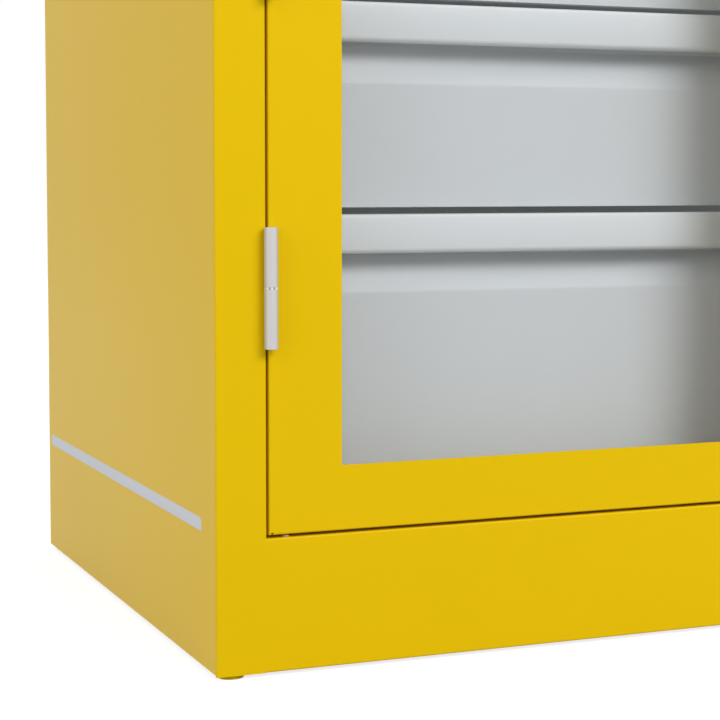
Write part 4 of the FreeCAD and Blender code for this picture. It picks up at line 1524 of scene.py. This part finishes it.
@dataclass
class LockAndCatch:
    """The lock's flange, the magnet catch with its pole plates, and the strike plate."""

    flange_round: float = 0.0007
    flange_edge: float = 0.0002
    barrel: float = 0.008
    plug_gap: float = 0.0001
    mouth_wide: float = 0.0008
    mouth_deep: float = 0.0006
    pole: float = 0.0012
    pole_shares: tuple[float, float] = (0.3, 0.7)
    pole_inset: float = 0.005
    pole_deep: float = 0.006
    pole_round: float = 0.0002
    body_inset: float = 0.001
    body_round: float = 0.0008
    strike_round: float = 0.0003
    screw_shares: tuple[float, float] = (0.2, 0.8)
    screw_dome: tuple[tuple[float, float], ...] = ((0.0, 0.0005), (0.0015, 0.0004), (0.0026, 0.0),
                                                   (0.0, 0.0))

    def build(self) -> None:
        """Make the lock's housing and the catch."""
        self.housing()
        self.magnet()
        self.strike()

    def housing(self) -> None:
        """The turned housing with a domed flange round the key."""
        room, plug = Extent.of("lock_housing"), Extent.of("lock_plug")
        centre = Vector((room.middle.x, 0.0, room.middle.z))
        front, back, door = room.low.y, room.high.y, Extent.of("door_shell").low.y
        outer, bore = room.size.x / 2, plug.size.x / 2 + self.plug_gap
        piece = Workpiece("lock_flange")
        ring = [(bore, back), (self.barrel, back), (self.barrel, door), (outer, door),
                (outer, front + self.flange_round), (outer - self.flange_round, front),
                (bore + self.mouth_wide, front), (bore, front + self.mouth_deep), (bore, back)]
        piece.turned(ring, centre, Axis.Y, steps=64)
        piece.close_out()
        piece.finish(Body.DOOR, Slot.CHROME, "lock_housing", edging=Edging(edge=self.flange_edge))

    def magnet(self) -> None:
        """The magnet catch: a moulded body with two steel pole plates."""
        room = Extent.of("magnet_catch")
        piece = Workpiece("catch_body")
        piece.block(room.low + Axis.Y.value * self.body_inset, room.high, self.body_round)
        piece.close_out()
        piece.finish(Body.ROOT, Slot.BLACK, "magnet_catch", edging=Edging(edge=0.0))
        poles = Workpiece("catch_poles")
        for share in self.pole_shares:
            x = room.low.x + room.size.x * share
            deep = room.low.y + self.pole_deep
            poles.block(Vector((x - self.pole / 2, room.low.y, room.low.z + self.pole_inset)),
                        Vector((x + self.pole / 2, deep, room.high.z - self.pole_inset)),
                        self.pole_round, 2)
        poles.close_out()
        poles.finish(Body.ROOT, Slot.ZINC, edging=Edging(edge=0.0))

    def strike(self) -> None:
        """The strike plate with two domed screw heads."""
        room, rise = Extent.of("strike_plate"), self.screw_dome[0][1]
        piece = Workpiece("catch_strike")
        piece.block(room.low, room.high - Axis.Y.value * rise, self.strike_round, 2)
        for share in self.screw_shares:
            spot = Vector((room.middle.x, room.high.y - rise, room.low.z + room.size.z * share))
            piece.turned(self.screw_dome, spot, Axis.Y, steps=20)
        piece.close_out()
        piece.finish(Body.DOOR, Slot.ZINC, "strike_plate", edging=Edging(edge=0.0))


# Drawers


@dataclass
class Drawer:
    """One drawer: folded front, rolled grip and open tray."""

    index: int
    sheet: float = 0.0012
    fold: float = 0.001
    crease_round: float = 0.0016
    front_return: float = 0.012
    crease_drop: float = 0.0565
    crease_top_drop: float = 0.0302
    crease_lean: float = 0.009
    grip_height: float = 0.024
    grip_round: float = 0.004
    grip_lip: float = 0.008
    grip_leg: float = 0.026
    grip_bulge: float = 0.0008
    grip_edge: float = 0.0004
    grip_rows: int = 10
    tray_corner: float = 0.0015
    hem: float = 0.005
    front: Extent = field(init=False)
    grip: Extent = field(init=False)
    tray: Extent = field(init=False)

    def __post_init__(self) -> None:
        """Read the drawer's places from the frame."""
        self.front = Extent.of("drawer_front_%d" % self.index)
        self.grip = Extent.of("drawer_grip_%d" % self.index)
        self.tray = Extent.of("drawer_box_%d" % self.index)

    @property
    def body(self) -> str:
        """The body that the drawer's pieces ride on."""
        return "drawer_%d" % self.index

    @property
    def low(self) -> float:
        """The z of the front's lower edge."""
        return self.front.low.z

    @property
    def tall(self) -> float:
        """The z of the grip's upper edge."""
        return self.grip.high.z

    @property
    def face(self) -> float:
        """The y of the front's face."""
        return self.front.low.y

    def build(self) -> None:
        """Make the drawer's pieces."""
        self.folded_front()
        self.rolled_grip()
        self.open_tray()

    def folded_front(self) -> None:
        """The front: foot return, face, crease and leaning leg, with returns at both ends."""
        left, right = self.front.low.x, self.front.high.x
        crease, crease_top = self.tall - self.crease_drop, self.tall - self.crease_top_drop
        leg = self.face + self.crease_lean
        line = [(self.face + self.front_return, self.low), (self.face, self.low), (self.face, crease),
                (leg, crease_top), (leg, self.tall)]
        piece = Workpiece("drawer_face_%d" % self.index)
        piece.strip([Vector((left, y, z)) for y, z in line], Vector((right - left, 0, 0)), -Axis.Z.value)
        ends = [edge for x in (left, right) for edge in piece.rims_at(x=x, y=self.face)]
        piece.fold(ends, Vector((0, self.front_return - self.sheet, 0)))
        bottom = piece.edges_at(y=self.face, z=self.low)
        sides = [edge for x in (left, right) for edge in piece.edges_at(x=x, y=self.face)]
        piece.round(bottom + sides, self.fold, SMALL_FOLD_STEPS)
        piece.round(piece.edges_at(y=self.face, z=crease), self.crease_round)
        piece.round(piece.edges_at(y=leg, z=crease_top), self.crease_round)
        piece.face_out(Vector(((left + right) / 2, self.face, (self.low + crease) / 2)), -Axis.Y.value)
        piece.finish(self.body, Slot.GREY, "drawer_front_%d" % self.index, edging=Edging(sheet=self.sheet))

    def rolled_grip(self) -> None:
        """The grip: a leg on the front, a top, a bowed face and a lip rolled in under it."""
        left, right = self.grip.low.x, self.grip.high.x
        sheet, top = self.sheet, self.tall - self.sheet
        grip = self.grip.low.y + self.grip_bulge + sheet
        leg = self.face + self.crease_lean - sheet
        lip = self.tall - self.grip_height - self.grip_round + sheet
        inner = self.grip_round - sheet
        piece = Workpiece("drawer_roll_%d" % self.index)
        line = [(leg, self.tall - self.grip_leg), (leg, top), (grip, top), (grip, lip),
                (grip - sheet + self.grip_lip, lip)]
        piece.strip([Vector((left, y, z)) for y, z in line], Vector((right - left, 0, 0)), Axis.Y.value)
        piece.round(piece.edges_at(y=grip, z=lip), inner, steps=5)
        piece.round(piece.edges_at(y=grip, z=top), self.grip_edge, steps=2)
        low_end = lip + inner
        rows = [low_end + (top - low_end) * row / self.grip_rows for row in range(1, self.grip_rows)]
        piece.slice(Axis.Z, rows, partial(piece.faces_within, (left, grip, low_end), (right, grip, top)))
        middle, reach = (low_end + top) / 2, (top - low_end) / 2
        for vert in piece.mesh.verts:
            if abs(vert.co.y - grip) < NEAR and low_end < vert.co.z < top:
                vert.co.y -= self.grip_bulge * (1 - ((vert.co.z - middle) / reach) ** 2)
        piece.face_out(Vector(((left + right) / 2, grip, middle)), -Axis.Y.value)
        # The grip takes the lightened grip coat, whose raised colour is painted highlight.
        piece.finish(self.body, Slot.GREY, "drawer_grip_%d" % self.index,
                     edging=Edging(sheet=sheet, inward=False), variant=GRIP_COAT_PAINTED_LIGHTER)

    def open_tray(self) -> None:
        """The tray: four walls and a floor, with a hem turned in along the top."""
        piece = Workpiece("drawer_tray_%d" % self.index)
        low, high = self.tray.low, self.tray.high
        piece.block(low, high)
        piece.remove(piece.faces_within((low.x, low.y, high.z), high))
        for x, y in ((low.x, low.y), (low.x, high.y), (high.x, low.y), (high.x, high.y)):
            piece.round(piece.edges_at(x=x, y=y), self.tray_corner, SMALL_FOLD_STEPS)
        piece.round(piece.edges_at(z=low.z), self.fold, SMALL_FOLD_STEPS)
        self.turn_hem(piece, [edge for edge in piece.mesh.edges if edge.is_boundary])
        piece.face_out(Vector((low.x, (low.y + high.y) / 2, (low.z + high.z) / 2)), -Axis.X.value)
        piece.finish(self.body, Slot.GREY, "drawer_box_%d" % self.index, edging=Edging(sheet=self.sheet))

    def turn_hem(self, piece: Workpiece, rims: list[BMEdge]) -> None:
        """Turn the tray's top edge inward as a narrow hem.

        Args:
            piece: the tray.
            rims: its open edges.
        """
        drawn = bmesh.ops.extrude_edge_only(piece.mesh, edges=rims)["geom"]
        verts = [item for item in drawn if isinstance(item, BMVert)]
        size = self.tray.size
        shares = Vector((1 - 2 * self.hem / size.x, 1 - 2 * self.hem / size.y, 1))
        bmesh.ops.scale(piece.mesh, verts=verts, vec=shares, space=Matrix.Translation(-self.tray.middle))


@dataclass
class Runner:
    """The telescopic runners of one drawer: three members each side, with their balls.

    The places named near and far are distances from the carrier's face.
    """

    index: int
    sheet: float = 0.0012
    fold: float = 0.0009
    outer_far: float = 0.008
    race: float = 0.0018
    race_round: float = 0.0005
    race_near: float = 0.0015
    race_far: float = 0.0112
    web_share: float = 0.8
    web_near: float = 0.004
    web_far: float = 0.0052
    inner_near: float = 0.0055
    inner_far: float = 0.0127
    ball: float = 0.0011
    ball_pitch: float = 0.011
    ball_far: float = 0.0095
    ball_share: float = 0.6
    ball_margin: float = 0.02
    fixed: Extent = field(init=False)
    middle: Extent = field(init=False)
    inner: Extent = field(init=False)

    def __post_init__(self) -> None:
        """Read the members' places from the frame."""
        self.fixed = Extent.of("runner_fixed_%d" % self.index)
        self.middle = Extent.of("runner_middle_%d" % self.index)
        self.inner = Extent.of("runner_inner_%d" % self.index)

    def build(self) -> None:
        """Make the members and balls of both runners."""
        self.channel("outer", "fixed", Body.ROOT.value, self.fixed, self.outer_far, 0.0)
        self.middle_rail()
        self.channel("inner", "inner", "drawer_%d" % self.index, self.inner, self.inner_near, self.inner_far)
        self.balls()

    def wall(self, side: Side) -> tuple[float, float]:
        """The carrier's face at one side, and the way from it to the drawer.

        Args:
            side: which side.

        Returns:
            The face's x and a sign along X.
        """
        return (self.fixed.low.x, 1.0) if side is Side.LEFT else (self.fixed.high.x, -1.0)

    def channel(self, name: str, part: str, body: str, room: Extent, flange: float, web: float) -> None:
        """One folded member of both runners: a web with a flange at its top and bottom.

        Args:
            name: what the member is called.
            part: what its CAD node is called.
            body: the body that it rides on.
            room: that node's extent.
            flange: how far from the carrier's face the flanges end.
            web: how far from it the web stands.
        """
        piece = Workpiece("runner_%s_rail_%d" % (name, self.index))
        low, high = room.low, room.high
        for side in Side:
            start, way = self.wall(side)
            end, back = start + way * flange, start + way * web
            line = [(end, low.z), (back, low.z), (back, high.z), (end, high.z)]
            piece.strip([Vector((x, low.y, z)) for x, z in line], Vector((0, room.size.y, 0)),
                        -Axis.Z.value, self.fold, SMALL_FOLD_STEPS)
        piece.finish(body, Slot.ZINC, "runner_%s_%d" % (part, self.index),
                     edging=Edging(sheet=self.sheet, edge=FINE_EDGE))

    def middle_rail(self) -> None:
        """The middle member of both runners: an upright web between two races."""
        piece = Workpiece("runner_middle_rail_%d" % self.index)
        low, high = self.middle.low, self.middle.high
        sunk = self.race * self.web_share
        for side in Side:
            start, way = self.wall(side)
            near, far = sorted((start + way * self.race_near, start + way * self.race_far))
            for floor in (low.z, high.z - self.race):
                piece.block(Vector((near, low.y, floor)), Vector((far, high.y, floor + self.race)),
                            self.race_round, 2)
            near, far = sorted((start + way * self.web_near, start + way * self.web_far))
            piece.block(Vector((near, low.y, low.z + sunk)), Vector((far, high.y, high.z - sunk)))
        piece.finish("runner_slide_%d" % self.index, Slot.ZINC, "runner_middle_%d" % self.index,
                     edging=Edging(edge=FINE_EDGE))

    def balls(self) -> None:
        """The rows of balls beside the races."""
        piece = Workpiece("runner_balls_%d" % self.index)
        rows = int((self.inner.size.y - 2 * self.ball_margin) / self.ball_pitch)
        rise = self.race + self.ball * self.ball_share
        for side in Side:
            start, way = self.wall(side)
            for height in (self.middle.low.z + rise, self.middle.high.z - rise):
                for row in range(rows):
                    depth = self.inner.low.y + self.ball_margin + row * self.ball_pitch
                    spot = Matrix.Translation((start + way * self.ball_far, depth, height))
                    bmesh.ops.create_icosphere(piece.mesh, subdivisions=1, radius=self.ball, matrix=spot)
        piece.finish("runner_slide_%d" % self.index, Slot.CHROME, edging=Edging(edge=0.0))


# Studio


@dataclass(frozen=True)
class SoftBox:
    """An oval soft box, by the light that it gives and how it looks from the cabinet.

    The strength is in watts a square metre. Wide and tall are the degrees that it spans, turn is
    counted from the front toward the right, and rise from level.
    """

    name: str
    strength: float
    wide: float
    tall: float
    turn: float
    rise: float


@dataclass
class Studio:
    """A white floor, an even white surround, three soft boxes and the camera."""

    surround: float = 0.54
    lamps: tuple[SoftBox, ...] = (
        SoftBox("key_lamp", strength=2.03, wide=42.0, tall=24.0, turn=21.0, rise=34.0),
        SoftBox("fill_lamp", strength=1.3, wide=60.0, tall=60.0, turn=-75.0, rise=20.0),
        SoftBox("rear_lamp", strength=1.2, wide=40.0, tall=40.0, turn=152.0, rise=22.0))
    lamp_distance: float = 4.5
    lamp_aim: float = 0.35
    floor_half: float = 40.0
    floor_shade: float = 0.4
    floor_glow: float = 0.8
    camera_place: tuple[float, float, float] = (-0.6234, -1.4064, 0.3345)
    camera_turn: float = 22.133
    camera_dip: float = 3.74
    camera_lens: float = 93.0
    camera_sensor: float = 36.0
    camera_shift: float = -0.078
    camera_clip: tuple[float, float] = (0.05, 100.0)

    def build(self) -> None:
        """Set up the floor, lamps, surround and camera."""
        self.floor()
        for box in self.lamps:
            self.lamp(box)
        self.world()
        self.camera()
        bpy.context.scene.view_settings.view_transform = "Standard"

    @staticmethod
    def seen(tree: bpy.types.NodeTree) -> bpy.types.NodeSocket:
        """1 for rays from the camera, glossy rays and rays through the pane, else 0.

        Args:
            tree: the node tree that gets the nodes.

        Returns:
            The factor.
        """
        path = tree.nodes.new("ShaderNodeLightPath")
        total = path.outputs["Is Camera Ray"]
        for name in ("Is Glossy Ray", "Is Transmission Ray"):
            both = tree.nodes.new("ShaderNodeMath")
            both.operation = "MAXIMUM"
            tree.links.new(total, both.inputs[0])
            tree.links.new(path.outputs[name], both.inputs[1])
            total = both.outputs[0]
        return total

    def floor(self) -> None:
        """A wide white floor that keeps the object's shadow."""
        grid = bmesh.new()
        bmesh.ops.create_grid(grid, x_segments=1, y_segments=1, size=self.floor_half)
        data = bpy.data.meshes.new("studio_floor")
        grid.to_mesh(data)
        grid.free()
        floor = bpy.data.objects.new("studio_floor", data)
        bpy.context.collection.objects.link(floor)
        floor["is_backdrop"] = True
        paint = bpy.data.materials.new("white_floor")
        paint.use_nodes = True
        tree = paint.node_tree
        tree.nodes.clear()
        output = tree.nodes.new("ShaderNodeOutputMaterial")
        matt, glow, both = (tree.nodes.new(kind) for kind in
                            ("ShaderNodeBsdfDiffuse", "ShaderNodeEmission", "ShaderNodeAddShader"))
        matt.inputs["Color"].default_value = (self.floor_shade, self.floor_shade, self.floor_shade, 1.0)
        glow.inputs["Color"].default_value = (1.0, 1.0, 1.0, 1.0)
        share = tree.nodes.new("ShaderNodeMath")
        share.operation = "MULTIPLY"
        share.inputs[1].default_value = self.floor_glow
        tree.links.new(self.seen(tree), share.inputs[0])
        tree.links.new(share.outputs[0], glow.inputs["Strength"])
        tree.links.new(matt.outputs[0], both.inputs[0])
        tree.links.new(glow.outputs[0], both.inputs[1])
        tree.links.new(both.outputs[0], output.inputs["Surface"])
        data.materials.append(paint)

    def lamp(self, box: SoftBox) -> None:
        """Hang one soft box so that it looks at the cabinet.

        Args:
            box: the soft box.
        """
        lamp = bpy.data.lights.new(box.name, "AREA")
        lamp.shape = "ELLIPSE"
        lamp.size, lamp.size_y = (2 * self.lamp_distance * math.tan(math.radians(angle) / 2)
                                  for angle in (box.wide, box.tall))
        lamp.energy = box.strength * math.pi * self.lamp_distance ** 2
        holder = bpy.data.objects.new(box.name, lamp)
        turn, rise = math.radians(box.turn), math.radians(box.rise)
        toward = Vector((math.sin(turn) * math.cos(rise), -math.cos(turn) * math.cos(rise), math.sin(rise)))
        holder.rotation_mode = "QUATERNION"
        holder.rotation_quaternion = toward.to_track_quat("Z", "Y")
        holder.location = Axis.Z.value * self.lamp_aim + toward * self.lamp_distance
        holder.visible_camera = False
        bpy.context.collection.objects.link(holder)

    def world(self) -> None:
        """An even white surround, which the camera and reflections see as plain white."""
        world = bpy.data.worlds.new("white_surround")
        bpy.context.scene.world = world
        world.use_nodes = True
        tree = world.node_tree
        tree.nodes.clear()
        output = tree.nodes.new("ShaderNodeOutputWorld")
        background = tree.nodes.new("ShaderNodeBackground")
        background.inputs["Color"].default_value = (1.0, 1.0, 1.0, 1.0)
        strength = tree.nodes.new("ShaderNodeMapRange")
        strength.inputs["To Min"].default_value = self.surround
        strength.inputs["To Max"].default_value = 1.0
        tree.links.new(self.seen(tree), strength.inputs["Value"])
        tree.links.new(strength.outputs["Result"], background.inputs["Strength"])
        tree.links.new(background.outputs[0], output.inputs["Surface"])

    def camera(self) -> None:
        """The photograph's view: from the front left, with the lens about 0.33 m above the floor."""
        lens = bpy.data.cameras.new("camera")
        lens.lens = self.camera_lens
        lens.sensor_width = self.camera_sensor
        lens.shift_y = self.camera_shift
        lens.clip_start, lens.clip_end = self.camera_clip
        holder = bpy.data.objects.new("camera", lens)
        holder.location = self.camera_place
        holder.rotation_euler = (math.radians(90 - self.camera_dip), 0.0, math.radians(-self.camera_turn))
        bpy.context.collection.objects.link(holder)
        bpy.context.scene.camera = holder


def dress_nodes(frame: dict) -> None:
    """Give every CAD node that still shows the material of its slot.
    """
    slots = {part["node"]: part["material_slot"] for part in frame["record"]["subparts"]}
    for name, node in sorted(frame["nodes"].items()):
        if node.hide_render or name not in slots:
            continue
        finish = PALETTE.of(Slot(slots[name]))
        for holder in node.material_slots:
            holder.material = finish
        log.info("%s keeps its CAD shape, in %s", name, finish.name)


def corners(box: Sequence[Vector]) -> list[list[float]]:
    """Two corners as plain lists.

    Args:
        box: the two corners.

    Returns:
        Their numbers.
    """
    return [[float(part) for part in corner] for corner in box]


def main() -> None:
    """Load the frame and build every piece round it."""
    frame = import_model()
    cad_box = corners(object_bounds())
    Carcase().build()
    for place in ("front_left", "front_right", "rear_left", "rear_right"):
        LevellingFoot(place).build()
    Door().build()
    hinges = [Hinge(place) for place in ("lower", "upper")]
    for hinge in hinges:
        hinge.build()
    collars = Workpiece("hinge_collars")
    for hinge in hinges:
        hinge.collar(collars)
    collars.close_out()
    collars.finish(Body.ROOT, Slot.NYLON, "hinge_washers", edging=Edging(edge=FINE_EDGE / 2))
    PullHandle().build()
    LockAndCatch().build()
    for index in DRAWERS:
        Drawer(index).build()
        Runner(index).build()
    dress_nodes(frame)
    Studio().build()
    bpy.context.view_layer.update()
    {"cad": cad_box, "visual": corners(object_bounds())}
    log.info("the sizes are written down")


if __name__ == "__main__":
    main()
